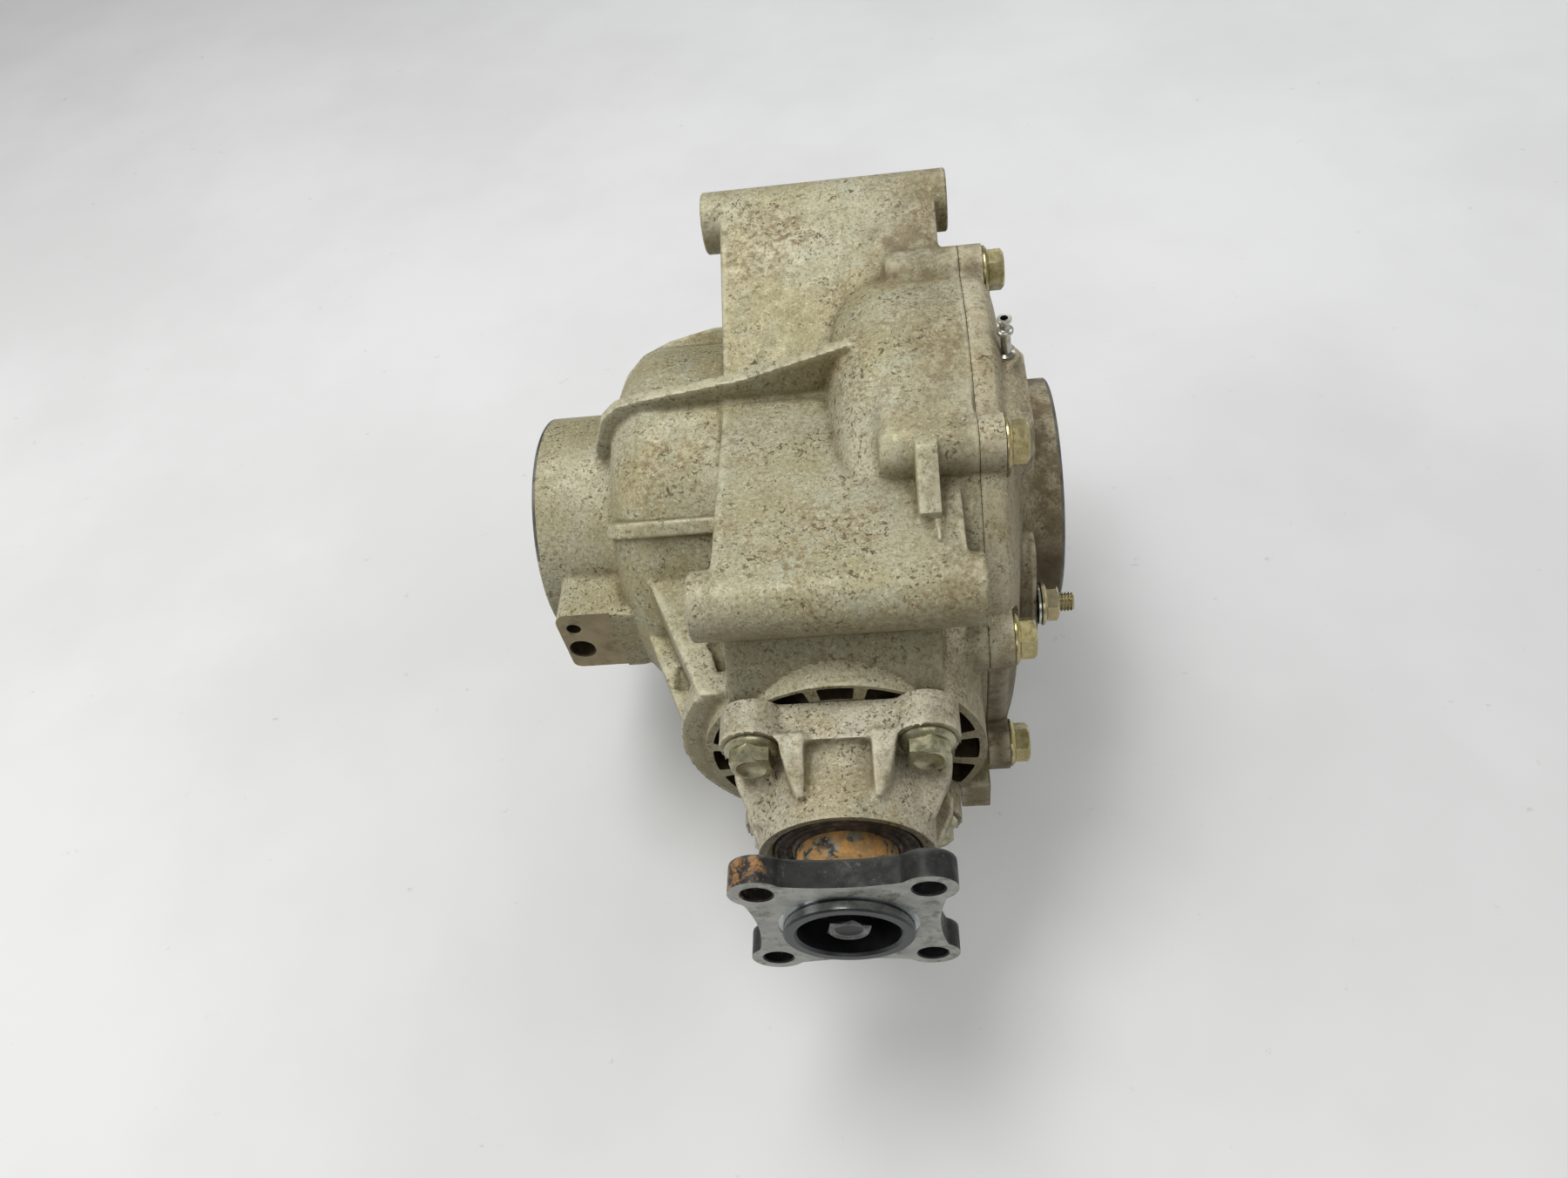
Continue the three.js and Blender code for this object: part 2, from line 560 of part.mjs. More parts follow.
function studNut() {
  const body = sum([
    hexagon('X', 7.5, 79.6, 85.4, [0, STUD.y, STUD.z]),
    rod('X', 8.8, 78.6, 80.2, [0, STUD.y, STUD.z]),
  ]);
  return body.subtract(rod('X', 4.1, 70, 90, [0, STUD.y, STUD.z]));
}

// ---- Bearings and seals -------------------------------------------------------------

// Roller bearing: two races, and the rollers joined by their cage in one lobed ring.
function bearing(axis, from, width, sizes, centre) {
  const [innerR, innerTop, outerFloor, outerR, rollers] = sizes;
  const pitch = (innerTop + outerFloor) / 2;
  const rollerR = (outerFloor - innerTop) / 2 - 0.5;
  const lobed = (direction) => {
    const points = [];
    for (let i = 0; i < rollers; i += 1) {
      for (const [share, lift] of [[-0.3, 0.8], [-0.18, rollerR], [0.18, rollerR], [0.3, 0.8]]) {
        const angle = (2 * Math.PI * (i + share)) / rollers;
        const radius = pitch + direction * lift;
        points.push(new THREE.Vector2(radius * Math.cos(angle), radius * Math.sin(angle)));
      }
    }
    return points;
  };
  const outline = new THREE.Shape(lobed(1));
  outline.holes.push(new THREE.Path(lobed(-1)));
  const set = geometryOf(extruded(axis, outline, from + 2, from + width - 2));
  return {
    inner: ring(axis, innerR, innerTop, from, from + width, centre),
    outer: ring(axis, outerFloor, outerR, from, from + width, centre),
    rollers: set.translate(...centre),
  };
}

function lipSeal(axis, from, width, innerR, outerR, centre) {
  return turned(axis, [
    [from, innerR], [from, outerR], [from + width, outerR], [from + width, outerR - 2],
    [from + 2.4, outerR - 2], [from + 2.4, innerR],
  ], centre);
}

// ---- Input shaft --------------------------------------------------------------------

function inputFlange() {
  const plate = extruded('Y', fourEars(FLANGE_BOLT, 9.6, 30.8), 0, FLANGE_THICK);
  const body = turned('Y', [
    [-PILOT_PROUD, 0], [-PILOT_PROUD, PILOT_R], [1, PILOT_R], [1, 26], [FLANGE_THICK + 2, 24],
    [FLANGE_THICK + 6, HUB_R], [45.7, HUB_R], [45.7, 0],
  ]);
  const bore = turned('Y', [
    [-PILOT_PROUD - 1, 0], [-PILOT_PROUD - 1, 17.7], [8, 17.7], [8, BOLT_HOLE_R], [12.3, BOLT_HOLE_R],
    [12.3, 13.8], [47, 13.8], [47, 0],
  ]);
  const holes = [[1, 1], [-1, 1], [-1, -1], [1, -1]].map(([sx, sz]) => (
    rod('Y', 5.3, -1, FLANGE_THICK + 6, [sx * FLANGE_BOLT, 0, sz * FLANGE_BOLT])));
  return cut(sum([plate, body]), [bore, ...holes]);
}

function pinionGear() {
  const gear = bevel(PINION);
  const [along, radius] = gear.rootOuter;
  const blank = turned('X', [
    [gear.rootInner[0] - 0.8, 0], [gear.rootInner[0] - 0.8, gear.rootInner[1]], gear.rootInner,
    [along, radius], [along + 0.8, 21], [AXLE_Y - 109.3, 21], [AXLE_Y - 109.3, 17.5],
    [AXLE_Y - 91.6, 17.5], [AXLE_Y - 91.6, 15], [AXLE_Y - 46.1, 15], [AXLE_Y - 46.1, 13.5],
    [AXLE_Y - 12.6, 13.5], [AXLE_Y - 12.6, 0],
  ]);
  const body = toothed(gear, blank, 0)
    .subtract(rod('X', 5.2, AXLE_Y - 44, AXLE_Y - 12));
  return aimed(body, [0, -1, 0], onAxle);
}

// ---- Differential -------------------------------------------------------------------

const ringBoltPlaces = Array.from({ length: 6 }, (_, i) => {
  const angle = radians(60 * i + 30);
  return [AXLE_Y + 53 * Math.cos(angle), 53 * Math.sin(angle)];
});

function ringGear() {
  const gear = bevel(RING);
  const bore = 46.2;
  const blank = turned('X', [
    [gear.rootInner[0] + 4, bore], [34, bore], [34, 72.5], [gear.rootOuter[0] + 2, 72.5],
    gear.rootOuter, gear.rootInner,
  ].reverse());
  const body = toothed(gear, blank, radians(5))
    .subtract(rod('X', bore, 0, 40));
  const geometry = aimed(body, [1, 0, 0], onAxle);
  return cut(solid(geometry), ringBoltPlaces.map(([y, z]) => rod('X', 4.2, 25, 35, [0, y, z])));
}

function differentialCase() {
  const body = turned('X', [
    [-79.5, 0], [-79.5, TRUNNION_R], [-63, TRUNNION_R], [-63, 26], [-40, 27], [-34, 38], [-31, 42],
    [27, 42], [27, 45.8], [34.3, 45.8], [34.3, 60], [42, 60], [42, 30], [48.6, 27],
    [48.6, TRUNNION_R], [66, TRUNNION_R], [66, 0],
  ], onAxle);
  const bore = turned('X', [
    [-90, 0], [-90, 15], [-40, 15], [-40, 17.6], [-23, 17.6], [-23, 31.5], [23, 31.5], [23, 17.6],
    [40, 17.6], [40, 15], [80, 15], [80, 0],
  ], onAxle);
  const window = box(-19, 19, AXLE_Y - 50, AXLE_Y + 50, -20, 20);
  const pinHole = rod('Z', PIN_R + 0.15, -50, 50, onAxle);
  const boltHoles = ringBoltPlaces.map(([y, z]) => rod('X', 4.2, 33, 43, [0, y, z]));
  return cut(body, [bore, window, pinHole, ...boltHoles]);
}

function ringGearBolt([y, z]) {
  return sum([hexagon('X', 7.4, 42.3, 47.4, [0, y, z]), rod('X', 3.9, 27, 43, [0, y, z])]);
}

function planetGear(up) {
  const gear = bevel(PLANET);
  const blank = turned('X', [
    [gear.rootInner[0], 0], gear.rootInner, gear.rootOuter, [26.6, 13.4], [27.2, 13.4],
    [29.6, 9], [29.6, 0],
  ]);
  const body = toothed(gear, blank, Math.PI / PLANET.teeth).subtract(rod('X', PIN_R + 0.5, 10, 40));
  const geometry = geometryOf(body);
  geometry.rotateY(up ? -Math.PI / 2 : Math.PI / 2);
  geometry.translate(...onAxle);
  return geometry;
}

function sideGear(aim) {
  const gear = bevel(SIDE);
  const blank = turned('X', [
    [gear.rootInner[0], 0], gear.rootInner, gear.rootOuter, [19, 23.4], [22.6, 23.4],
    [22.6, SIDE_HUB_R], [38, SIDE_HUB_R], [38, 0],
  ]);
  const splines = 14;
  const star = Array.from({ length: splines * 2 }, (_, i) => {
    const angle = (Math.PI * i) / splines;
    const radius = i % 2 ? 12.2 : 13.8;
    return new THREE.Vector2(radius * Math.cos(angle), radius * Math.sin(angle));
  });
  const bore = solid(new THREE.ExtrudeGeometry(new THREE.Shape(star), { depth: 60, bevelEnabled: false })
    .rotateY(Math.PI / 2));
  return aimed(toothed(gear, blank, radians(180 / SIDE.teeth)).subtract(bore), [aim, 0, 0], onAxle);
}

// ---- Assembly -----------------------------------------------------------------------

const FINISH = {
  casting: ['#a09c8c', 0.65, 0.55],
  cover: ['#8d8674', 0.7, 0.5],
  carrier: ['#b0ad9f', 0.6, 0.6],
  zinc: ['#b3a56c', 0.4, 0.8],
  bright: ['#c9cbcc', 0.3, 0.9],
  flange: ['#6e6b66', 0.4, 0.85],
  gear: ['#8b8d90', 0.3, 0.95],
  race: ['#c0c3c6', 0.2, 0.95],
  cage: ['#b08d4a', 0.4, 0.85],
  iron: ['#5b5c5c', 0.55, 0.8],
  rubber: ['#2a2623', 0.85, 0],
  gasket: ['#3a3b3d', 0.9, 0],
};

const assembly = new THREE.Group();

function place(name, part, finish) {
  const geometry = part.isBufferGeometry ? part : geometryOf(part);
  const [color, roughness, metalness] = FINISH[finish];
  const mesh = new THREE.Mesh(geometry, new THREE.MeshStandardMaterial({ color, roughness, metalness }));
  mesh.name = name;
  assembly.add(mesh);
}

place('main_case', mainCase(), 'casting');
place('side_cover', sideCover(), 'cover');
place('pinion_carrier', pinionCarrier(), 'carrier');
place('cover_gasket', ring('X', CAVITY_R + 1, 92.6, SEAM_X - 0.1, SEAM_X + 0.1, onAxle), 'gasket');
place('carrier_oring', ring('Y', TUNNEL_R - 2.3, TUNNEL_R - 0.3, 70.1, 72.1), 'rubber');

coverBoltPlaces.forEach(([y, z], index) => {
  const tip = index === 2 ? 48 : 38;
  place(`cover_bolt_${index + 1}`, flangeBolt('X', COVER_FACE_X, tip, 1, [0, y, z]), 'zinc');
});
carrierBoltPlaces.forEach(([x, z], index) => {
  place(`carrier_bolt_${index + 1}`, flangeBolt('Y', CARRIER_SEAT_Y, 86, -1, [x, 0, z]), 'zinc');
});

place('breather_fitting', breatherFitting(), 'bright');
place('drain_plug', hexPlug('Z', DRAIN.z, -1, [DRAIN.x, AXLE_Y, 0]), 'zinc');
place('fill_plug', hexPlug('Y', FILL.y, 1, [FILL.x, 0, FILL.z]), 'zinc');
place('bracket_stud', rod('X', 3.9, STUD.from, STUD.to, [0, STUD.y, STUD.z]), 'zinc');
place('stud_washer', ring('X', 4.2, 8.2, 77.3, 78.3, [0, STUD.y, STUD.z]), 'bright');
place('stud_nut', studNut(), 'zinc');

for (const [name, { y, z, left, right }] of [['front', FRONT_TUBE], ['top', TOP_TUBE]]) {
  const sleeve = ring('X', 5.2, TUBE_BORE_R - GAP, left + 0.5, right - 0.5, [0, y, z]);
  place(`${name}_mount_sleeve`, sleeve, 'iron');
}

const bearings = {
  pinion_front: bearing('Y', FRONT_BEARING_Y, 16, [15.2, 20, 26, 31, 8], onPinion),
  pinion_rear: bearing('Y', REAR_BEARING_Y, 17, [17.7, 23.5, 30.2, 35.9, 8], onPinion),
  left_diff: bearing('X', LEFT_BEARING_X, DIFF_BEARING_WIDTH, [22.6, 27, 33, 37.4, 10], onAxle),
  right_diff: bearing('X', RIGHT_BEARING_X, DIFF_BEARING_WIDTH, [22.6, 27, 33, 37.4, 10], onAxle),
};
for (const [name, { inner, outer, rollers }] of Object.entries(bearings)) {
  place(`${name}_bearing_outer`, outer, 'race');
  place(`${name}_bearing_inner`, inner, 'race');
  place(`${name}_bearing_rollers`, rollers, 'cage');
}

place('pinion_seal', lipSeal('Y', 25.6, 8, HUB_R + GAP, 26), 'rubber');
place('left_axle_seal', lipSeal('X', -94.3, 8, 17, 30, onAxle), 'rubber');
place('right_axle_seal', lipSeal('X', 67.2, 8, 17, 30, onAxle), 'rubber');

place('input_flange', inputFlange(), 'flange');
place('flange_bolt', flangeBolt('Y', 6, 40, -1), 'bright');
place('flange_washer', ring('Y', 5.2, 12.5, 6.3, 7.8), 'bright');
place('pinion_gear', pinionGear(), 'gear');
place('pinion_spacer', ring('Y', 15.3, 18.6, 62.3, 91.4), 'iron');

place('ring_gear', ringGear(), 'gear');
place('differential_case', differentialCase(), 'iron');
ringBoltPlaces.forEach((at, index) => place(`ring_gear_bolt_${index + 1}`, ringGearBolt(at), 'iron'));
place('spider_shaft', rod('Z', PIN_R, -41, 41, onAxle), 'gear');
place('planet_gear_1', planetGear(true), 'gear');
place('planet_gear_2', planetGear(false), 'gear');
place('left_side_gear', sideGear(-1), 'gear');
place('right_side_gear', sideGear(1), 'gear');

const extent = new THREE.Box3().setFromObject(assembly);
const middle = extent.getCenter(new THREE.Vector3());
assembly.position.set(-middle.x, -middle.y, -extent.min.z);

const part = new THREE.Group();
part.add(assembly);

export default part;
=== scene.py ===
"""Looks of a utility vehicle's rear final drive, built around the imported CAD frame.

Castings are fused from turned, extruded and hull solids, rounded over by a voxel skin and then
machined with boolean cuts. Sizes are millimetres in the drawing frame: the origin is the middle
of the input flange's face, Y runs along the pinion shaft into the case and X along the axle.
"""

import itertools
import json
import math

import bmesh
import bpy
import numpy as np
from mathutils import Matrix, Vector


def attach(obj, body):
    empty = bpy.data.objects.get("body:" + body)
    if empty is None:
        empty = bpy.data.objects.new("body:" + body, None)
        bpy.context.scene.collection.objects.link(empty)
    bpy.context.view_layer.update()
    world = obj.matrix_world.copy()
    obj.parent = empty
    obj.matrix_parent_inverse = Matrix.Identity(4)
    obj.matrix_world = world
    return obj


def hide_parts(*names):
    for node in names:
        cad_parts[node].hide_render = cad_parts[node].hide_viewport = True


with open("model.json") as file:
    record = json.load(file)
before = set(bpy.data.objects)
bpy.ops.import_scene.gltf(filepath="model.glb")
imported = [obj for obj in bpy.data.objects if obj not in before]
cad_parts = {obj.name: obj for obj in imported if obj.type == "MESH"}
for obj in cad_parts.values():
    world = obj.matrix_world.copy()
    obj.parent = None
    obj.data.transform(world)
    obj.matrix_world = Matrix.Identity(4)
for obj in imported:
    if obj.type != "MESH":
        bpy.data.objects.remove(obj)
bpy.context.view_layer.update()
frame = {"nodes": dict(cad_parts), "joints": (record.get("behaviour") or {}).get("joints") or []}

JOINTS = {joint["name"]: joint for joint in frame["joints"]}
ORIGIN = Vector(JOINTS["pinion_spin"]["pos_m"])
MM = 0.001

# ---- Sizes, in millimetres -----------------------------------------------------------

AXLE_Y = 191.2
LEFT_RIM_X, RIGHT_RIM_X = -124.7, 90.2
BELL_R, BELL_INNER_R, RIM_MIDDLE_R = 48.5, 43.5, 46
BODY_R, DRUM_R, CAVITY_R, BODY_CAVITY_R = 74.7, 100.0, 87.0, 56.0
SEAM_X, SEAM_GAP, SEAM_LINE = 54.8, 0.3, 0.12
COVER_BOLTS = [
    (68.4, 97.8), (122, 98.5), (165, 98.5), (204.6, 107.4),
    (252, 98.5), (297, 98.5), (340, 98.5), (25, 98.5),
]
BOSS_STARTS = (26, 20, 44, 34, 34, 34, 34, 34)
COVER_BOLT_TIPS = (38, 38, 48, 38, 38, 38, 38, 38)
COVER_BOSS_R, COVER_FACE_X = 10.6, 63.9
PLATE_LEFT_X, PLATE_RIGHT_X = -39.5, 47.8
CROSS_FIN_Y = 184.5
TUBE_R, TUBE_BORE_R = 12.5, 8.3
FRONT_TUBE = dict(centre=(0, 88.7, 66.1), left=-47.4, right=53.4)
TOP_TUBE = dict(centre=(0, 266.6, 98.5), left=-47.5, right=52.9)
LUG_FRONT_Y = 126
LUG_HOLES = ((-110.5, 8.5, 3, 20, 0.3), (-110.3, -5.4, 5.2, 24, 0.5))  # x, z, radius, depth, chamfer
NECK_Y, NECK_R, LOBE_R, TUNNEL_R = 66.0, 52.5, 61.8, 36.2
POCKET_SPACING, POCKET_HALF_WIDTH = 23, 8.5  # degrees
CARRIER_BOLT, CARRIER_SEAT_Y, CARRIER_NOSE_Y = 30.4, 52.5, 24.3
FLANGE_BOLT, PILOT_R, PILOT_FRONT_Y, HUB_R = 27.6, 22.4, -3.9, 18.0
HEX_R, HEAD_FLANGE_R, BOLT_HOLE_R = 8.1, 9.8, 5.2
DRAIN_Z, DRAIN_CENTRE = -104.0, (28.0, AXLE_Y, 0)
FILL_Y, FILL_CENTRE = 291.0, (20.0, 0, 22.0)
PLUG_R = 7.0
BREATHER = (69.2, 182.0, 86.0)
STUD_Y, STUD_Z, STUD_END_X = 127.0, 5.0, 91.4

AXLE = (0.0, AXLE_Y, 0.0)
TUBES = (FRONT_TUBE, TOP_TUBE)
COVER_BOLT_PLACES = [
    (AXLE_Y + distance * math.cos(math.radians(angle)), distance * math.sin(math.radians(angle)))
    for angle, distance in COVER_BOLTS
]
CARRIER_BOLT_PLACES = [
    (side_x * CARRIER_BOLT, side_z * CARRIER_BOLT) for side_x, side_z in ((-1, 1), (1, 1), (1, -1), (-1, -1))
]

# ---- Solids: each is (points, faces) --------------------------------------------------


def on_axis(axis, along, radius, angle, centre):
    """The point at a distance along an axis, a radius from it and an angle round it."""
    c, s = radius * math.cos(angle), radius * math.sin(angle)
    offset = {"X": (along, c, s), "Y": (c, along, s), "Z": (c, s, along)}[axis]
    return tuple(a + b for a, b in zip(offset, centre))


def turned(axis, profile, centre=(0, 0, 0), sides=96):
    """A turned solid from a profile of (along, radius) that ends on the axis or joins up with its start."""
    joins_up = profile[0][1] > 0 and profile[-1][1] > 0
    points, faces, rings = [], [], []
    for along, radius in profile:
        count = sides if radius > 1e-6 else 1
        rings.append((len(points), count))
        for i in range(count):
            points.append(on_axis(axis, along, radius, 2 * math.pi * i / sides, centre))
    pairs = list(zip(rings, rings[1:]))
    if joins_up:
        pairs.append((rings[-1], rings[0]))
    for (a, count_a), (b, count_b) in pairs:
        if count_a == 1 and count_b == 1:
            continue
        for i in range(sides):
            j = (i + 1) % sides
            quad = [a + i % count_a, b + i % count_b, b + j % count_b, a + j % count_a]
            faces.append(tuple(dict.fromkeys(quad)))
    return points, faces


def outward(seat, out, profile):
    """A profile whose distances are measured from a seat; `out` is the sign of the way out."""
    return [(seat + out * along, radius) for along, radius in profile]


def rod(axis, radius, start, end, centre=(0, 0, 0), sides=96):
    return turned(axis, [(start, 0), (start, radius), (end, radius), (end, 0)], centre, sides)


def ring(axis, inner, outer, start, end, centre=(0, 0, 0), sides=96):
    return turned(axis, [(start, inner), (start, outer), (end, outer), (end, inner)], centre, sides)


def extruded(axis, outline, start, end):
    """An outline of (y, z) pushed along X, of (x, z) along Y or of (x, y) along Z."""
    def place(u, v, along):
        return {"X": (along, u, v), "Y": (u, along, v), "Z": (u, v, along)}[axis]
    count = len(outline)
    points = [place(u, v, along) for along in (start, end) for u, v in outline]
    faces = [tuple(range(count)), tuple(range(2 * count - 1, count - 1, -1))]
    for i in range(count):
        j = (i + 1) % count
        faces.append((i, j, count + j, count + i))
    return points, faces


def hull(points):
    bm = bmesh.new()
    for point in points:
        bm.verts.new(point)
    made = bmesh.ops.convex_hull(bm, input=bm.verts)
    spare = {e for e in made["geom_interior"] + made["geom_unused"] if isinstance(e, bmesh.types.BMVert)}
    bmesh.ops.delete(bm, geom=list(spare), context="VERTS")
    bm.verts.index_update()
    result = [tuple(v.co) for v in bm.verts], [tuple(v.index for v in f.verts) for f in bm.faces]
    bm.free()
    return result


def bar(start, end, corners):
    """The hull of the same (y, z) corners at two places along X."""
    return hull([(x, y, z) for x in (start, end) for y, z in corners])


def moved(solid, matrix):
    points, faces = solid
    return [tuple(matrix @ Vector(p)) for p in points], faces


def arc(radius, y, start, end, count):
    """Points on a circle about the pinion axis, between two angles in degrees."""
    angles = [math.radians(start + (end - start) * i / (count - 1)) for i in range(count)]
    return [(radius * math.cos(a), y, radius * math.sin(a)) for a in angles]


def bend(u, v, radius, start, end, count):
    """Outline points on part of a circle, between two angles in radians."""
    return [(u + radius * math.cos(a), v + radius * math.sin(a)) for a in np.linspace(start, end, count)]


def rounded(outline, radius, steps=5):
    """An outline with each corner rounded off."""
    result = []
    count = len(outline)
    for i, corner in enumerate(outline):
        here = Vector(corner)
        before, after = Vector(outline[i - 1]) - here, Vector(outline[(i + 1) % count]) - here
        reach = min(radius, before.length * 0.45, after.length * 0.45)
        a, b = here + before.normalized() * reach, here + after.normalized() * reach
        for step in range(steps + 1):
            t = step / steps
            result.append(tuple(a * (1 - t) ** 2 + here * 2 * t * (1 - t) + b * t ** 2))
    return result


# ---- Pieces ---------------------------------------------------------------------------

EVENING_ROUNDS = 24  # how often each point moves to its neighbours' mean to find the even surface


def link_object(name, data):
    obj = bpy.data.objects.new(name, data)
    bpy.context.scene.collection.objects.link(obj)
    return obj


def new_object(name, solids):
    """One mesh object, in metres in the row frame, from solids in the drawing frame."""
    points, faces = [], []
    for solid_points, solid_faces in solids:
        start = len(points)
        points += solid_points
        faces += [tuple(start + i for i in face) for face in solid_faces]
    mesh = bpy.data.meshes.new(name)
    mesh.from_pydata([tuple(Vector(p) * MM + ORIGIN) for p in points], [], faces)
    bm = bmesh.new()
    bm.from_mesh(mesh)
    bmesh.ops.recalc_face_normals(bm, faces=bm.faces)
    bm.to_mesh(mesh)
    bm.free()
    return link_object(name, mesh)


def apply_modifiers(obj):
    graph = bpy.context.evaluated_depsgraph_get()
    mesh = bpy.data.meshes.new_from_object(obj.evaluated_get(graph))
    obj.modifiers.clear()
    obj.data = mesh
    return obj


def skin(obj, voxel, rounds):
    """Fuses what overlaps into one skin of voxels in millimetres, and rounds its edges over."""
    remesh = obj.modifiers.new("skin", "REMESH")
    remesh.mode = "VOXEL"
    remesh.voxel_size = voxel * MM
    if rounds:
        smooth = obj.modifiers.new("rounding", "SMOOTH")
        smooth.factor = 0.5
        smooth.iterations = rounds
    return apply_modifiers(obj)


def carve(obj, solids, operation="DIFFERENCE"):
    """Cuts solids that don't touch each other out of a piece."""
    cutter = new_object("cutter", solids)
    boolean = obj.modifiers.new("cut", "BOOLEAN")
    boolean.operation = operation
    boolean.solver = "MANIFOLD"
    boolean.object = cutter
    apply_modifiers(obj)
    bpy.data.objects.remove(cutter)
    return obj


def join(obj, solid):
    return carve(obj, [solid], operation="UNION")


def read(items, name, width, kind=float):
    values = np.empty(len(items) * width, kind)
    items.foreach_get(name, values)
    return values.reshape(-1, width)


def measure_hollows(obj):
    """Stores in millimetres how deep in a hollow each point lies: less than 0 is out on an edge."""
    mesh = obj.data
    count = len(mesh.vertices)
    places = read(mesh.vertices, "co", 3) * 1000
    a, b = read(mesh.edges, "vertices", 2, int).T
    neighbours = np.maximum(np.bincount(a, minlength=count) + np.bincount(b, minlength=count), 1)
    even = places
    for _ in range(EVENING_ROUNDS):
        total = np.stack([
            np.bincount(a, even[b, k], count) + np.bincount(b, even[a, k], count) for k in range(3)
        ], 1)
        even = total / neighbours[:, None]
    depth = ((even - places) * read(mesh.vertices, "normal", 3)).sum(1)
    layer = mesh.attributes.new("hollow", "FLOAT", "POINT")
    layer.data.foreach_set("value", depth.astype(np.float32))


def shade(obj, degrees=32):
    """Smooth shading, sharp where two faces meet at more than some degrees."""
    mesh = obj.data
    mesh.polygons.foreach_set("use_smooth", np.ones(len(mesh.polygons), bool))
    mesh.set_sharp_from_angle(angle=math.radians(degrees))


def finish_piece(obj, material, body, slot, *nodes):
    obj.data.materials.clear()
    obj.data.materials.append(material)
    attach(obj, body)
    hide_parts(*nodes)
    return obj


def paint_faces(piece, choose):
    """Gives each face the material that `choose` returns for its middle and its normal."""
    materials = piece.data.materials
    indices = {materials[0].name: 0}
    for polygon in piece.data.polygons:
        place = (Vector(polygon.center) - ORIGIN) / MM
        material = choose(place, polygon.normal)
        if material.name not in indices:
            indices[material.name] = len(materials)
            materials.append(material)
        polygon.material_index = indices[material.name]


# ---- Materials ------------------------------------------------------------------------


class Paint:
    """Builds one procedural material: its methods add a node and return its output."""

    def __init__(self, name):
        self.material = bpy.data.materials.new(name)
        self.material.use_nodes = True
        self.tree = self.material.node_tree
        self.shader = self.tree.nodes["Principled BSDF"]
        self.place = self.add("ShaderNodeTexCoord").outputs["Object"]

    def add(self, kind, inputs=(), **settings):
        """A new node, with its settings made and its inputs linked or set."""
        node = self.tree.nodes.new(kind)
        for key, value in settings.items():
            setattr(node, key, value)
        self.plug(node, dict(inputs))
        return node

    def plug(self, node, inputs):
        for key, value in inputs.items():
            if isinstance(value, bpy.types.NodeSocket):
                self.tree.links.new(value, node.inputs[key])
            else:
                node.inputs[key].default_value = value

    def noise(self, size, detail=3.0, rough=0.55, distortion=0.0, stretch=None):
        """Noise whose features are about `size` millimetres across."""
        place = self.place
        if stretch:
            place = self.add("ShaderNodeMapping", {"Vector": place, "Scale": stretch}).outputs["Vector"]
        inputs = {"Vector": place, "Scale": 1000 / size, "Detail": detail, "Roughness": rough}
        return self.add("ShaderNodeTexNoise", {**inputs, "Distortion": distortion}).outputs["Fac"]

    def span(self, value, low, high, to_low=0.0, to_high=1.0):
        """A value that goes smoothly from `to_low` to `to_high` while the input goes from low to high."""
        inputs = {"Value": value, "From Min": low, "From Max": high, "To Min": to_low, "To Max": to_high}
        return self.add("ShaderNodeMapRange", inputs, interpolation_type="SMOOTHSTEP").outputs["Result"]

    def patches(self, size, detail, rough, *span):
        """Noise patches, faded in between two levels of the noise."""
        return self.span(self.noise(size, detail, rough), *span)

    def math(self, operation, a, b):
        clamp = operation == "MULTIPLY"
        return self.add("ShaderNodeMath", {0: a, 1: b}, operation=operation, use_clamp=clamp).outputs[0]

    def times(self, first, *others):
        """The product of all shares, kept between 0 and 1."""
        for share in others:
            first = self.math("MULTIPLY", first, share)
        return first

    def mix(self, share, a, b):
        a, b = (color if isinstance(color, bpy.types.NodeSocket) else (*color, 1.0) for color in (a, b))
        return self.add("ShaderNodeMix", {"Factor": share, 6: a, 7: b}, data_type="RGBA").outputs[2]

    def over(self, color, tint, *shares):
        """A colour with a tint laid over it, as strongly as the product of the shares."""
        return self.mix(self.times(*shares), color, tint)

    def along(self, axis):
        """Position along one axis, in millimetres of the drawing frame."""
        index = "XYZ".index(axis)
        metres = self.add("ShaderNodeSeparateXYZ", {0: self.place}).outputs[index]
        inputs = {0: metres, 1: 1000.0, 2: -1000.0 * ORIGIN[index]}
        return self.add("ShaderNodeMath", inputs, operation="MULTIPLY_ADD").outputs[0]

    def under(self):
        """0 where the surface faces up, 1 where it is upright or faces down."""
        normal = self.add("ShaderNodeNewGeometry").outputs["Normal"]
        up = self.add("ShaderNodeSeparateXYZ", {0: normal}).outputs[2]
        return self.math("SUBTRACT", 1.0, self.span(up, -0.1, 0.8))

    def hollow(self):
        """What measure_hollows stored."""
        return self.add("ShaderNodeAttribute", attribute_name="hollow").outputs["Fac"]

    def bump(self, height, strength, distance, below=None):
        inputs = {"Height": height, "Strength": strength, "Distance": distance * MM}
        if below is not None:
            inputs["Normal"] = below
        return self.add("ShaderNodeBump", inputs).outputs["Normal"]

    def done(self, color, roughness, metallic, normal):
        inputs = {"Base Color": color, "Roughness": roughness, "Metallic": metallic, "Normal": normal}
        self.plug(self.shader, inputs)
        return self.material


GREY_BROWN, BLACK_BROWN = (0.16, 0.12, 0.06), (0.07, 0.052, 0.024)
RUST_BROWN, SPECK_BROWN, GRAIN_BROWN = (0.215, 0.14, 0.05), (0.085, 0.062, 0.03), (0.15, 0.115, 0.055)
TOOL_MARK = 0.35  # width of a tool mark in millimetres


def tinted(color, *factors):
    return tuple(c * k for c, k in zip(color, factors))


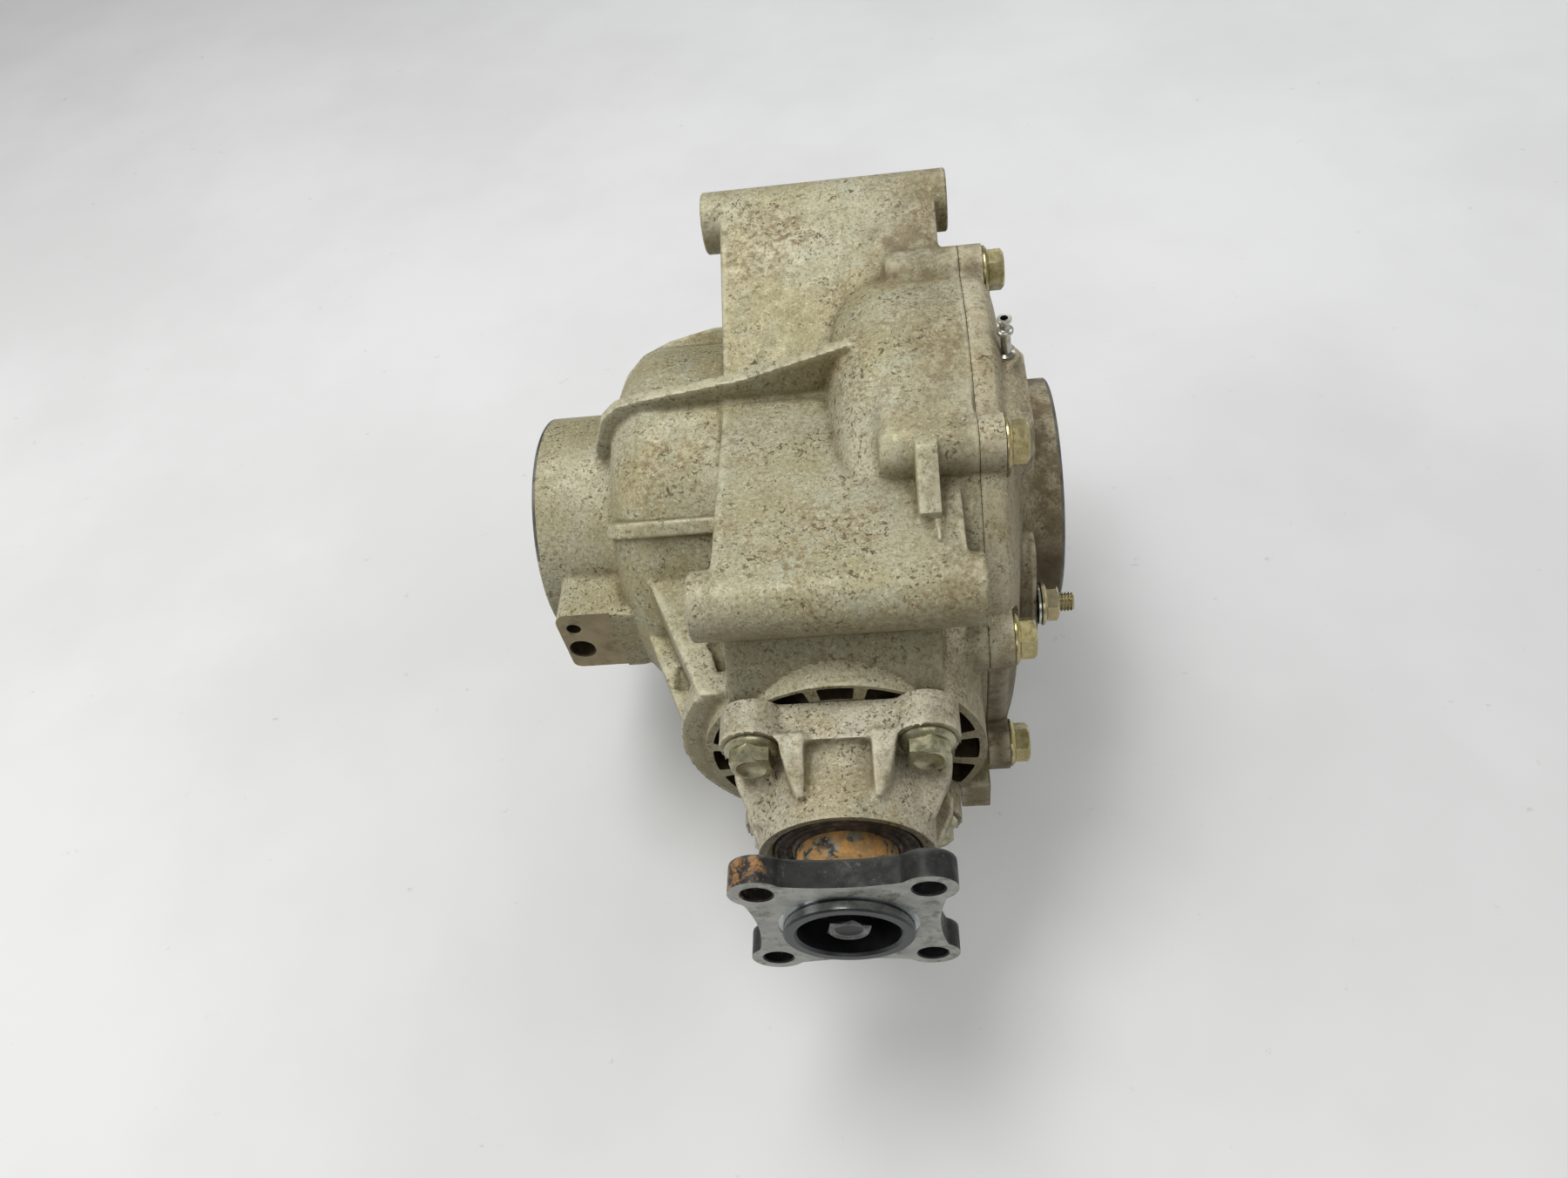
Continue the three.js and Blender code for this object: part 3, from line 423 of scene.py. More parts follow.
def cast_metal(name, pale, tan, grime, rust, specks, zone=None, side_grime_and_shade=(22, 44, 0.4), low=(12, -40, 0.45)):
    """Sand-cast aluminium under dust, with dark specks, rust stain, and grime with painted shade in hollows
    and on faces that don't face up.

    Its last two arguments say between which X patchy grime with painted shade sets in and between which Z
    painted shade darkens the bottom, and how strong each gets.
    """
    p = Paint(name)
    color = p.mix(p.patches(42, 4, 0.55, 0.36, 0.64), pale, tan)
    cool = p.span(p.noise(16, 5, 0.6, distortion=0.4), 0.48, 0.68)
    color = p.over(color, tinted(pale, 0.93, 1.03, 1.12), cool, 0.5)
    color = p.over(color, tinted(tan, 0.66, 0.66, 0.6), p.patches(2.0, 6, 0.8, 0.49, 0.58), 0.6)
    color = p.over(color, tinted(pale, 1.45, 1.45, 1.45), p.patches(1.5, 4, 0.75, 0.55, 0.62), 0.55)
    stain = p.patches(26, 4, 0.6, 0.6 - 0.22 * rust, 0.78 - 0.2 * rust)
    if zone is not None:
        stain = p.times(stain, zone(p))
    stain = p.times(stain, p.patches(2.6, 6, 0.72, 0.47, 0.6))
    color = p.over(color, RUST_BROWN, stain, 0.78)
    dot_area = p.patches(17, 4, 0.65, 0.56 - 0.2 * specks, 0.7 - 0.2 * specks)
    color = p.over(color, SPECK_BROWN, p.patches(1.9, 3, 0.75, 0.56, 0.6), dot_area, 0.88)
    # Patchy grey-brown grime with painted shade, growing towards +X.
    start, full, strength = side_grime_and_shade
    side = p.span(p.along("X"), start, full)
    color = p.over(color, GREY_BROWN, side, p.patches(8, 5, 0.65, 0.4, 0.6, 0.3, 1.0), strength)
    rear = p.times(p.span(p.along("Y"), 208, 222), p.span(p.along("X"), 14, 27),
                   p.span(p.along("Y"), 250, 238, 0.25, 1.0))
    color = p.over(color, GREY_BROWN, rear, p.patches(9, 5, 0.65, 0.42, 0.54, 0.25, 1.0), 0.7)
    # Painted shade: darker towards the bottom.
    start, full, strength = low
    color = p.over(color, BLACK_BROWN, p.span(p.along("Z"), start, full), strength)
    color = p.over(color, GRAIN_BROWN, p.patches(0.95, 2, 0.6, 0.56, 0.62), 0.45)
    edge = p.span(p.hollow(), -0.2, -0.9)
    color = p.over(color, tinted(pale, 1.3, 1.3, 1.3), edge, p.patches(5, 4, 0.6, 0.35, 0.6), 0.55)
    # Grime and painted shade in hollows, stronger the deeper they lie.
    hollow_grime_and_shade = p.span(p.hollow(), 0.1, 1.1)
    color = p.over(color, grime, hollow_grime_and_shade, p.patches(7, 4, 0.6, 0.25, 0.6, 0.4, 1.0), 0.7)
    # Painted shade: faces that are upright or face down take on the grime colour.
    color = p.over(color, grime, p.under(), 0.45)
    grain = p.bump(p.noise(0.9, 3, 0.7), 0.4, 0.16)
    normal = p.bump(p.noise(3.5, 4, 0.6), 0.25, 0.4, grain)
    roughness = p.patches(6, 4, 0.6, 0.3, 0.7, 0.5, 0.7)
    return p.done(color, roughness, p.math("SUBTRACT", 0.35, p.times(stain, 0.3)), normal)


def turned_metal(name, dark, light, roughness, metallic, grime=None, axis="Y"):
    """Machined metal with fine tool marks round one axis and a little grime."""
    p = Paint(name)
    marks = p.noise(TOOL_MARK, 2, 0.5, stretch=[1.0 if letter == axis else 0.12 for letter in "XYZ"])
    cloud = p.noise(9, 4, 0.6)
    color = p.mix(p.span(cloud, 0.35, 0.65), dark, light)
    if grime is not None:
        color = p.over(color, grime, p.patches(5, 5, 0.65, 0.5, 0.68), 0.75)
    return p.done(color, p.span(cloud, 0.3, 0.7, *roughness), metallic, p.bump(marks, 0.12, 0.05))


def plated(name, pale, deep, brown, amount):
    """Zinc plate gone dull: cloudy colour, small rust spots, and brown painted shade where it is upright or
    faces down.
    """
    p = Paint(name)
    color = p.mix(p.patches(5, 4, 0.6, 0.35, 0.68), pale, deep)
    color = p.over(color, brown, p.patches(1.6, 5, 0.7, 0.54, 0.68), amount)
    # Painted shade: faces that are upright or face down turn brown.
    color = p.over(color, brown, p.under(), 0.3)
    rough = p.patches(3, 4, 0.6, 0.3, 0.7, 0.2, 0.42)
    return p.done(color, rough, 0.85, p.bump(p.noise(0.8, 3, 0.6), 0.12, 0.05))


def upper_zone(p):
    """Where rust stain gathers: the web, the arm above it, the front tube and the neck's front."""
    return p.math("MAXIMUM", p.span(p.along("Z"), 40, 74, 0.35, 1.0), p.span(p.along("Y"), 71, 66.5))


PALE = (0.5, 0.48, 0.35)
TAN = (0.4, 0.365, 0.215)
# Grime colour that also paints shade into hollows and onto faces that don't face up.
GRIME_AND_SHADE = (0.12, 0.093, 0.038)
case_metal = cast_metal("cast_case", PALE, TAN, GRIME_AND_SHADE, rust=0.75, specks=0.6, zone=upper_zone)
# A darker copy of the case's cast finish: painted shade for the block's front-facing faces under the front
# tube.
shaded_metal = cast_metal("cast_shaded", (0.27, 0.255, 0.17), (0.2, 0.175, 0.1), GRIME_AND_SHADE, 0.2, 0.9)
# The cover's finish darkens more: patchy grime with painted shade over its outer end, and painted shade on
# more of its lower part.
cover_metal = cast_metal("cast_cover", (0.5, 0.46, 0.33), (0.38, 0.32, 0.19), (0.08, 0.058, 0.028), 0.6, 0.7,
                         side_grime_and_shade=(67, 80, 0.85), low=(34, 0, 0.75))
carrier_metal = cast_metal("cast_carrier", (0.52, 0.49, 0.38), (0.4, 0.35, 0.215), GRIME_AND_SHADE, 0.45, 0.75)
bolt_metal = plated("yellow_zinc", (0.55, 0.49, 0.27), (0.38, 0.33, 0.145), (0.15, 0.09, 0.035), 0.55)
carrier_bolt_metal = plated("grey_zinc", (0.52, 0.5, 0.34), (0.34, 0.33, 0.21), (0.13, 0.09, 0.045), 0.55)
stud_metal = plated("yellow_zinc_fine", (0.55, 0.5, 0.33), (0.42, 0.36, 0.2), (0.2, 0.13, 0.05), 0.3)
bright_metal = turned_metal("bright_zinc", (0.4, 0.4, 0.35), (0.6, 0.6, 0.54), (0.2, 0.32), 0.92,
                            grime=(0.22, 0.2, 0.1), axis="Z")
dark_bolt_metal = plated("dark_zinc", (0.2, 0.21, 0.2), (0.1, 0.105, 0.1), (0.06, 0.055, 0.04), 0.4)
gear_metal = turned_metal("gear_steel", (0.3, 0.31, 0.33), (0.45, 0.46, 0.48), (0.2, 0.36), 0.95, axis="X")
race_metal = turned_metal("race_steel", (0.5, 0.51, 0.53), (0.66, 0.67, 0.69), (0.1, 0.22), 0.98, axis="X")
cage_metal = turned_metal("cage_brass", (0.42, 0.3, 0.12), (0.6, 0.45, 0.2), (0.25, 0.4), 0.9, axis="X")
iron_metal = turned_metal("dark_iron", (0.13, 0.12, 0.115), (0.24, 0.22, 0.2), (0.4, 0.6), 0.8,
                          grime=(0.17, 0.1, 0.045), axis="X")


def rubber(name, color, dust):
    """Rubber under a patchy film of dust."""
    p = Paint(name)
    dusty = p.mix(p.times(p.patches(4, 5, 0.65, 0.42, 0.68), 0.7), color, dust)
    rough = p.patches(3, 3, 0.55, 0.3, 0.7, 0.45, 0.75)
    return p.done(dusty, rough, 0.0, p.bump(p.noise(1.2, 3, 0.6), 0.2, 0.08))


seal_rubber = rubber("seal_rubber", (0.028, 0.02, 0.014), (0.13, 0.085, 0.04))
gasket_rubber = rubber("gasket_rubber", (0.02, 0.02, 0.021), (0.09, 0.075, 0.05))


def forged_flange():
    """Blackened steel with worn grey patches and a rusty ear."""
    p = Paint("flange_forged")
    color = p.mix(p.patches(7, 5, 0.6, 0.4, 0.65), (0.006, 0.0065, 0.007), (0.018, 0.019, 0.019))
    color = p.over(color, (0.13, 0.13, 0.12), p.patches(2.2, 5, 0.7, 0.6, 0.67), 0.4)
    ear = p.times(p.span(p.along("X"), -21, -27), p.span(p.along("Z"), 20, 30))
    rust = p.mix(p.patches(1.8, 4, 0.55, 0.4, 0.6), (0.36, 0.19, 0.06), (0.2, 0.11, 0.05))
    color = p.over(color, rust, ear, p.patches(4, 6, 0.7, 0.46, 0.58))
    color = p.over(color, (0.2, 0.2, 0.19), p.span(p.hollow(), -0.25, -0.8), 0.35)
    rough = p.patches(4, 4, 0.55, 0.3, 0.7, 0.42, 0.62)
    return p.done(color, rough, 0.3, p.bump(p.noise(1.2, 4, 0.7), 0.4, 0.12))


def rusty_hub():
    """Hub of the flange: orange rust in patches, bare grey and black metal between them."""
    p = Paint("hub_rust")
    rust = p.mix(p.patches(3, 5, 0.7, 0.4, 0.62), (0.62, 0.34, 0.1), (0.38, 0.25, 0.12))
    metal = p.mix(p.patches(4, 4, 0.55, 0.42, 0.6), (0.035, 0.037, 0.045), (0.3, 0.28, 0.2))
    bare = p.span(p.noise(8, 5, 0.6, distortion=0.6), 0.47, 0.56)
    color = p.mix(bare, rust, metal)
    return p.done(color, p.span(bare, 0, 1, 0.8, 0.45), 0.25, p.bump(p.noise(1.5, 4, 0.7), 0.4, 0.1))


flange_side = forged_flange()
hub_rust = rusty_hub()
flange_face = turned_metal("flange_faced", (0.27, 0.275, 0.25), (0.42, 0.42, 0.385), (0.35, 0.52), 0.55,
                           grime=(0.1, 0.09, 0.06))
pilot_side = turned_metal("pilot_polished", (0.32, 0.335, 0.34), (0.46, 0.48, 0.49), (0.12, 0.2), 1.0)
pilot_front = turned_metal("pilot_front", (0.028, 0.03, 0.032), (0.06, 0.064, 0.068), (0.3, 0.42), 0.5)
# Near-black painted shade for recesses and bores.
recess_shade = turned_metal("recess_painted_shade", (0.006, 0.006, 0.007), (0.015, 0.015, 0.016), (0.35, 0.5), 0.3)
machined_dirty = turned_metal("machined_dirty", (0.22, 0.175, 0.09), (0.3, 0.245, 0.14), (0.5, 0.65), 0.2,
                              grime=(0.13, 0.09, 0.04), axis="X")
# Dark brown grime and painted shade for the insides of holes and pockets.
bore_grime_and_shade = turned_metal("bore_grime_and_painted_shade", (0.03, 0.022, 0.012), (0.07, 0.05, 0.025), (0.5, 0.75), 0.3,
                          grime=(0.012, 0.01, 0.008))
rim_dark = turned_metal("rim_dark", (0.1, 0.1, 0.095), (0.19, 0.185, 0.16), (0.4, 0.6), 0.6,
                        grime=(0.06, 0.05, 0.035), axis="X")

# ---- Housing castings -------------------------------------------------------------------

CAST_SLACK = 1.5  # casting left on faces that are then machined


def plate_and_arm():
    """Web from the front tube to the body, and the arm that goes on up to the top tube."""
    front, axle = Vector(FRONT_TUBE["centre"][1:]), Vector((AXLE_Y, 0))
    heading = math.atan2(axle.y - front.y, axle.x - front.x)
    lean = math.acos((TUBE_R - BODY_R) / (axle - front).length)
    normal = Vector((math.cos(heading + lean), math.sin(heading + lean)))
    lower = [front, (98, 50), (128, 30), (180, 55), (194, 60)]
    outline = [front + normal * TUBE_R, *lower, axle + normal * BODY_R]
    plate = extruded("X", [tuple(p) for p in outline], PLATE_LEFT_X, PLATE_RIGHT_X)
    _, y, z = TOP_TUBE["centre"]
    top = CROSS_FIN_Y + 2
    arm_points = []
    for x, front_z in ((PLATE_LEFT_X, 77), (PLATE_RIGHT_X, 80)):
        arm_points += [(x, top, front_z), (x, top, 66)]
        arm_points += [(x, y - 2.2, z + TUBE_R - 0.2), (x, y, z), (x, y - 4, z - 6), (x, 198, 66)]
    rib = [(258, 100), (200, 80), (200, 55), (238, 52)]
    ribs = [extruded("X", rib, x, x + 7) for x in (PLATE_LEFT_X + 2, 0)]
    parting = extruded("X", [(100, 76), (181, 74), (181, 77.2), (100, 80.2)], 38.2, 39.6)
    return [plate, hull(arm_points), *ribs, parting]


def body_fins():
    """A cross fin that climbs to the drum and two fins that stand radially on the body."""
    cross = extruded("Y", [
        (-96, 44), (-96, 55), (-90, 70), (-83, 76.5), (-72, 79.2), (-31, 85.3), (11, 97.5), (30, 97.5),
        (30, 60), (-60, 55),
    ], CROSS_FIN_Y - 2.7, CROSS_FIN_Y + 2.7)
    fins = [cross]
    crests = {
        45: [(-90, 64), (-87, 73), (-81, 78.5), (-74, 80)],
        -39: [(-93.5, 53.3), (-91.7, 58.5), (-88.2, 65), (-80.3, 72.6), (-68.1, 77.5), (-48.4, 81.6)],
    }
    for angle, crest in crests.items():
        outline = [(crest[0][0], 50), *crest, (-37, crest[-1][1]), (-37, 50)]
        turn = Matrix.Translation(AXLE) @ Matrix.Rotation(math.radians(angle), 4, "X")
        fins.append(moved(extruded("Y", outline, -3.1, 3.1), turn))
    return fins


def neck():
    """Round flange, its taper into the body and the block with a sloping top above it."""
    seam = SEAM_X - SEAM_GAP
    rear = NECK_R - 1.5
    lobe = hull([*arc(LOBE_R, 71, 148, 234, 16), *arc(LOBE_R, 81, 146, 244, 16), *arc(rear, 81, 0, 351, 40)])
    right = hull([
        *arc(rear, 80, 0, 351, 40), (seam, 128, 44), (seam, 128, -52), (seam, 104, 34), (seam, 104, -44),
        (-40, 130, 34), (-40, 130, -44),
    ])
    left = hull([
        *arc(LOBE_R, 79, 172, 244, 12), *arc(30, 79, 172, 244, 12), (-80, 138, 8), (-80, 138, -34),
        (-68, 134, -44), (-40, 130, 8), (-40, 130, -44),
    ])
    slab = NECK_Y - CAST_SLACK
    front_rim = [p for p in arc(NECK_R, slab, -320, 40, 96) if p[2] < 33.4]
    flange = hull(front_rim + arc(NECK_R, 82, 0, 355, 72))
    block = extruded("X", [(slab, 10), (slab, 33.2), (84, 56), (104, 62), (112, 10)], -38.5, 37.4)
    tunnel = rod("Y", 46.5, slab, 96)
    valley = bar(-52, -37, [(80, 29), (99, 35), (99, 10), (80, 10)])
    return [lobe, right, left, flange, block, tunnel, valley]


def bolt_bosses():
    """Bosses that take the cover bolts, and the webs behind two of them."""
    seam = SEAM_X + CAST_SLACK
    bosses = []
    for (y, z), start in zip(COVER_BOLT_PLACES, BOSS_STARTS):
        nose = [(start, 0), (start, 7.5), (start + 1.5, 9.4), (start + 6, COVER_BOSS_R)]
        bosses.append(turned("X", [*nose, (seam, COVER_BOSS_R), (seam, 0)], (0, y, z), 48))
    for y, z in COVER_BOLT_PLACES[2:4]:
        corners = [(yy, zz + half) for half in (-8, 8) for yy, zz in ((y - 8, z * 0.97), (130, z * 0.6))]
        bosses.append(bar(42, seam, corners))
    return bosses


def drum_shoulder():
    """Fills the corner between the second bolt's boss and the drum."""
    y, z = COVER_BOLT_PLACES[1]
    boss = [(x, yy, zz) for x in (24, 54) for yy, zz in bend(y, z, 10.2, 0, 2 * math.pi, 20)]
    drum = [on_axis("X", x, radius, math.radians(angle), AXLE)
            for angle in (98, 104, 112, 124, 128) for x, radius in ((15, 94), (22, 98.6), (54, 99.6))]
    return hull(boss + drum)


def case_castings():
    seam = SEAM_X + CAST_SLACK
    rim = LEFT_RIM_X - CAST_SLACK
    shell = turned("X", [
        (-89, 0), (-89, 55), (-88, 60.5), (-85.5, 65), (-82, 69), (-77.5, 72.6), (-72, BODY_R), (0, BODY_R),
        (1.5, 78), (3, 83), (5, 88), (8, 92.5), (12.5, 96.3), (18, 98.9), (25, DRUM_R), (seam, DRUM_R),
        (seam, 0),
    ], AXLE, 160)
    bell = turned("X", [
        (rim, 0), (rim, BELL_R), (-96, BELL_R), (-92.5, 49.3), (-90.5, 51), (-88, 54), (-80, 54), (-80, 0),
    ], AXLE, 128)
    lug_outline = rounded([(-117, -16), (-115, -18), (-84, -18), (-84, 18), (-114, 18), (-117, 14)], 2)
    lug = extruded("Y", lug_outline, LUG_FRONT_Y - CAST_SLACK, 176)
    gusset = extruded("X", [(109.5, 70), (110, 82), (130, 94), (140, 94.5), (140, 70)], 32.4, 40.4)
    foot = bar(43, seam, [(72, -40), (72, -58), (120, -40), (120, -70)])
    wedge = bar(40, 46, [(236, 84), (262, 90), (230, 92), (244, 96)])
    upper_rib = extruded("Z", [
        (-75, 131), (-73, 126), (-50.8, 74.9), (-49, 72), (-38, 72), (-38.9, 80.9), (-43.1, 81.5),
        (-45.9, 91), (-48.8, 95), (-40, 97), (-40, 132),
    ], 2, 36.5)
    lower_rib = extruded("Z", [
        (-80, 124), (-77.8, 118.7), (-61.3, 78.7), (-58, 73), (-48, 73), (-57, 91.9), (-64.9, 91.9),
        (-64.9, 102.1), (-62, 104), (-68, 124),
    ], -16, 10.5)
    tubes = [rod("X", TUBE_R, tube["left"] - CAST_SLACK, tube["right"] + CAST_SLACK, tube["centre"])
             for tube in TUBES]
    drain = rod("Z", 13, DRAIN_Z - CAST_SLACK, -80, DRAIN_CENTRE, 64)
    fill = rod("Y", 14, FILL_Y - 24, FILL_Y + CAST_SLACK, FILL_CENTRE, 64)
    return [shell, bell, *bolt_bosses(), *plate_and_arm(), *body_fins(), *neck(), lug, gusset,
            drum_shoulder(), foot, upper_rib, lower_rib, *tubes, drain, fill, wedge]


def half_block(axis, start, end, reach=200):
    """A thick plate across one axis, that machines a face flat."""
    lows, highs = [-reach, -40, -reach], [reach, 340, reach]
    index = "XYZ".index(axis)
    lows[index], highs[index] = start, end
    return hull(list(itertools.product(*zip(lows, highs))))


def tube_facing():
    """Cuts the ends of both mounting tubes square, with a small chamfer round the edge."""
    edge = [(-1, TUBE_R + 0.4), (0, TUBE_R - 0.7)]
    profile = [(4, 0), (4, 16), (-1, 16), *edge, (0, TUBE_BORE_R + 0.4), (0, 0)]
    return [turned("X", outward(tube[side], out, profile), tube["centre"], 64)
            for tube in TUBES for side, out in (("left", -1), ("right", 1))]


def rim_facing(rim, out):
    """Profile that faces the rim of a bell and starts its bore."""
    return outward(rim, out, [
        (5, 0), (5, 60), (-0.8, 60), (-0.8, BELL_R + 0.2), (0, BELL_R - 0.7), (0, BELL_INNER_R + 0.6),
        (-0.6, BELL_INNER_R),
    ])


def drilled(radius, mouth, depth, x, z, chamfer):
    """A blind hole along Y with a chamfered mouth and a drill point's end."""
    return turned("Y", [
        (mouth - 2, 0), (mouth - 2, radius + chamfer), (mouth, radius + chamfer), (mouth + chamfer, radius),
        (mouth + depth, radius), (mouth + depth + radius * 0.5, 0),
    ], (x, 0, z), 40)


def neck_pockets():
    """Twelve pockets cast in the neck's round face, three to a side."""
    pockets = []
    for side in range(4):
        inner, outer = (38.0, 45.0) if side == 1 else (40.5, 49.6)  # nearer the middle below the block
        for offset in (-POCKET_SPACING, 0, POCKET_SPACING):
            middle = math.radians(90 * side + offset)
            outline = []
            for radius, sweep in ((outer, 1), (inner, -1)):
                for step in range(7):
                    angle = middle + sweep * math.radians(POCKET_HALF_WIDTH) * (step / 3 - 1)
                    outline.append((radius * math.cos(angle), radius * math.sin(angle)))
            pockets.append(extruded("Y", rounded(outline, 2.0, 3), NECK_Y - 3, NECK_Y + 14))
    return pockets


def build_case():
    case = skin(new_object("main_case_cast", case_castings()), voxel=1.0, rounds=4)
    measure_hollows(case)
    carve(case, [half_block("X", SEAM_X - SEAM_LINE, SEAM_X + 30)])
    carve(case, [half_block("Y", 20, NECK_Y, 70)])
    carve(case, [turned("X", [
        *rim_facing(LEFT_RIM_X, -1), (-98, BELL_INNER_R), (-95, 40), (-95, 30.3), (-85.5, 30.3), (-85.5, 34),
        (-84, 34), (-84, 37.7), (-60, 37.7), (-60, BODY_CAVITY_R), (-2, BODY_CAVITY_R), (8, 78),
        (13, CAVITY_R), (SEAM_X + 1, CAVITY_R), (SEAM_X + 1, 0),
    ], AXLE, 128), *tube_facing()])
    tunnel = turned("Y", [
        (NECK_Y - 2, 0), (NECK_Y - 2, TUNNEL_R), (109.6, TUNNEL_R), (109.6, 30), (150, 30), (150, 0),
    ])
    carve(case, [
        tunnel,
        *[rod("X", TUBE_BORE_R, tube["left"] - 2, tube["right"] + 2, tube["centre"]) for tube in TUBES],
        *[rod("X", BOLT_HOLE_R, tip - 2, SEAM_X + 1, (0, *place), 32)
          for place, tip in zip(COVER_BOLT_PLACES, COVER_BOLT_TIPS)],
        *[rod("Y", BOLT_HOLE_R, NECK_Y - 2, 90, (x, 0, z), 32) for x, z in CARRIER_BOLT_PLACES],
        *neck_pockets(),
        bar(-122, -93, [(y, z) for y in (LUG_FRONT_Y - 6, LUG_FRONT_Y) for z in (-22, 22)]),
        rod("Z", PLUG_R + 0.3, DRAIN_Z - 4, -70, DRAIN_CENTRE, 48),
        rod("Y", PLUG_R + 0.3, FILL_Y - 40, FILL_Y + 4, FILL_CENTRE, 48),
    ])
    carve(case, [
        *[drilled(radius, LUG_FRONT_Y, depth, x, z, chamfer) for x, z, radius, depth, chamfer in LUG_HOLES],
        ring("Z", PLUG_R + 1.0, 16, DRAIN_Z - 5, DRAIN_Z, DRAIN_CENTRE, 64),
        ring("Y", PLUG_R + 1.0, 17, FILL_Y, FILL_Y + 5, FILL_CENTRE, 64),
    ])
    shade(case)
    finish_piece(case, case_metal, "housing", "casting", "main_case")
    paint_faces(case, case_face)


def in_pocket(place, from_pinion):
    """Whether a place lies on the wall of one of the neck's pockets."""
    turn = (math.degrees(math.atan2(place.z, place.x)) + 45) % 90 - 45
    beside = min(abs(turn), abs(abs(turn) - POCKET_SPACING)) > POCKET_HALF_WIDTH + 0.7
    outer_wall = from_pinion > 45.6 and place.z > 26
    deep_enough = NECK_Y + 0.6 < place.y < NECK_Y + 14.5
    return deep_enough and 37.4 < from_pinion < 49.9 and not beside and not outer_wall


def case_face(place, normal):
    """The case's material at a place: bores, pockets, machined faces and the shaded block."""
    from_axle = math.hypot(place.y - AXLE_Y, place.z)
    from_pinion = math.hypot(place.x, place.z)
    from_tube = (place - Vector(FRONT_TUBE["centre"])).yz.length
    # Lug holes and the neck's pockets are painted near-black brown: grime and painted shade.
    if place.x < -105 and LUG_FRONT_Y + 0.2 < place.y < 150 and 44.2 < from_axle < 80:
        from_hole = min(math.hypot(place.x - x, place.z - z) - radius for x, z, radius, *_ in LUG_HOLES)
        return bore_grime_and_shade if from_hole < 0.25 else case_metal
    if in_pocket(place, from_pinion):
        return bore_grime_and_shade
    # Front-facing faces of the block under the front tube get the darker copy: painted shade.
    on_block = from_pinion > 47 and 67 < place.y < 92 and 34 < place.z < 60 and abs(place.x) < 39.5
    if on_block and normal.y < -0.3 and from_tube > TUBE_R + 0.5:
        return shaded_metal
    if abs(place.x - LEFT_RIM_X) < 1.1 and abs(from_axle - RIM_MIDDLE_R) < 3:
        return rim_dark
    on_lug_front = abs(normal.y) > 0.99 and place.y < LUG_FRONT_Y + 0.1 and place.x < -100
    on_seam = abs(normal.x) > 0.99 and abs(place.x - SEAM_X) < 1
    return machined_dirty if on_lug_front or on_seam else case_metal


def cover_castings():
    face = SEAM_X + SEAM_GAP
    back = face - CAST_SLACK
    shell = turned("X", [
        (back, 0), (back, DRUM_R), (60, DRUM_R), (62.5, 99), (64.5, 96), (66, 92), (67.5, 86), (70, 70),
        (71.8, 60), (73.6, 53), (76.5, 49.4), (80, BELL_R), (RIGHT_RIM_X + CAST_SLACK, BELL_R),
        (RIGHT_RIM_X + CAST_SLACK, 0),
    ], AXLE, 160)
    front = COVER_FACE_X + CAST_SLACK
    bosses = [rod("X", COVER_BOSS_R, back, front, (0, y, z), 48) for y, z in COVER_BOLT_PLACES]
    foot = [(138, 60), (140, 80), (160, 90), (200, 90), (206, 70), (165, 44)]
    top = [(149, 58), (148, 68), (154, 77), (190, 79), (195, 72), (168, 48)]
    chamber = hull([(62, y, z) for y, z in foot] + [(76.5, y, z) for y, z in top])
    x, y, z = BREATHER
    breather_boss = rod("Z", 5.4, 72, z, (x, y, 0), 32)
    pad = hull([(x + dx, y + dy, pad_z) for dx in (-6, 4) for dy in (-4, 5) for pad_z in (76, z - 3)])
    lug = [
        *bend(STUD_Y + 3, STUD_Z - 4, 12.5, math.pi, 2 * math.pi, 12),
        (STUD_Y + 27, STUD_Z + 12),
        *bend(STUD_Y + 13, STUD_Z + 14, 11, 0, math.pi, 12),
    ]
    low_y, low_z = COVER_BOLT_PLACES[3]
    corners = [(low_y + dy, low_z + dz) for dy, dz in ((-6, 8), (6, -8), (18, 14), (26, -4))]
    low_web = bar(back, COVER_FACE_X, corners)
    return [shell, *bosses, chamber, breather_boss, pad, extruded("X", lug, 60, 77), low_web]


def build_cover():
    face = SEAM_X + SEAM_LINE
    cover = skin(new_object("side_cover_cast", cover_castings()), voxel=1.0, rounds=4)
    measure_hollows(cover)
    carve(cover, [half_block("X", SEAM_X - 30, face)])
    x, y, z = BREATHER
    carve(cover, [
        turned("X", [
            *rim_facing(RIGHT_RIM_X, 1), (78, BELL_INNER_R), (75.5, 40), (75.5, 30.3), (67, 30.3), (67, 34),
            (65.5, 34), (65.5, 37.7), (face - 1, 37.7), (face - 1, 0),
        ], AXLE, 128),
        turned("X", [(face - 1, 44.5), (face - 1, CAVITY_R), (57, CAVITY_R), (60, 82), (64, 60), (64, 44.5)],
               AXLE, 128),
        *[rod("X", COVER_BOSS_R + 1.6, COVER_FACE_X, 80, (0, *place), 48) for place in COVER_BOLT_PLACES],
        rod("Z", 3.6, z, 112, (x, y, 0), 32),
        rod("X", 9.6, 77, 82, (0, STUD_Y, STUD_Z), 48),
    ])
    carve(cover, [
        *[rod("X", BOLT_HOLE_R, face - 1, COVER_FACE_X + 1, (0, *place), 32) for place in COVER_BOLT_PLACES],
        rod("Z", 1.9, 66, z + 1, (x, y, 0), 24),
        rod("X", 4.2, 66, 78, (0, STUD_Y, STUD_Z), 32),
    ])
    join(cover, ring("X", 37.7, 44.5, 48, 66, AXLE))
    shade(cover)
    finish_piece(cover, cover_metal, "housing", "cover", "side_cover")

    def choose(place, normal):
        from_axle = math.hypot(place.y - AXLE_Y, place.z)
        on_rim = abs(place.x - RIGHT_RIM_X) < 1.1 and abs(from_axle - RIM_MIDDLE_R) < 3
        return rim_dark if on_rim else cover_metal
    paint_faces(cover, choose)


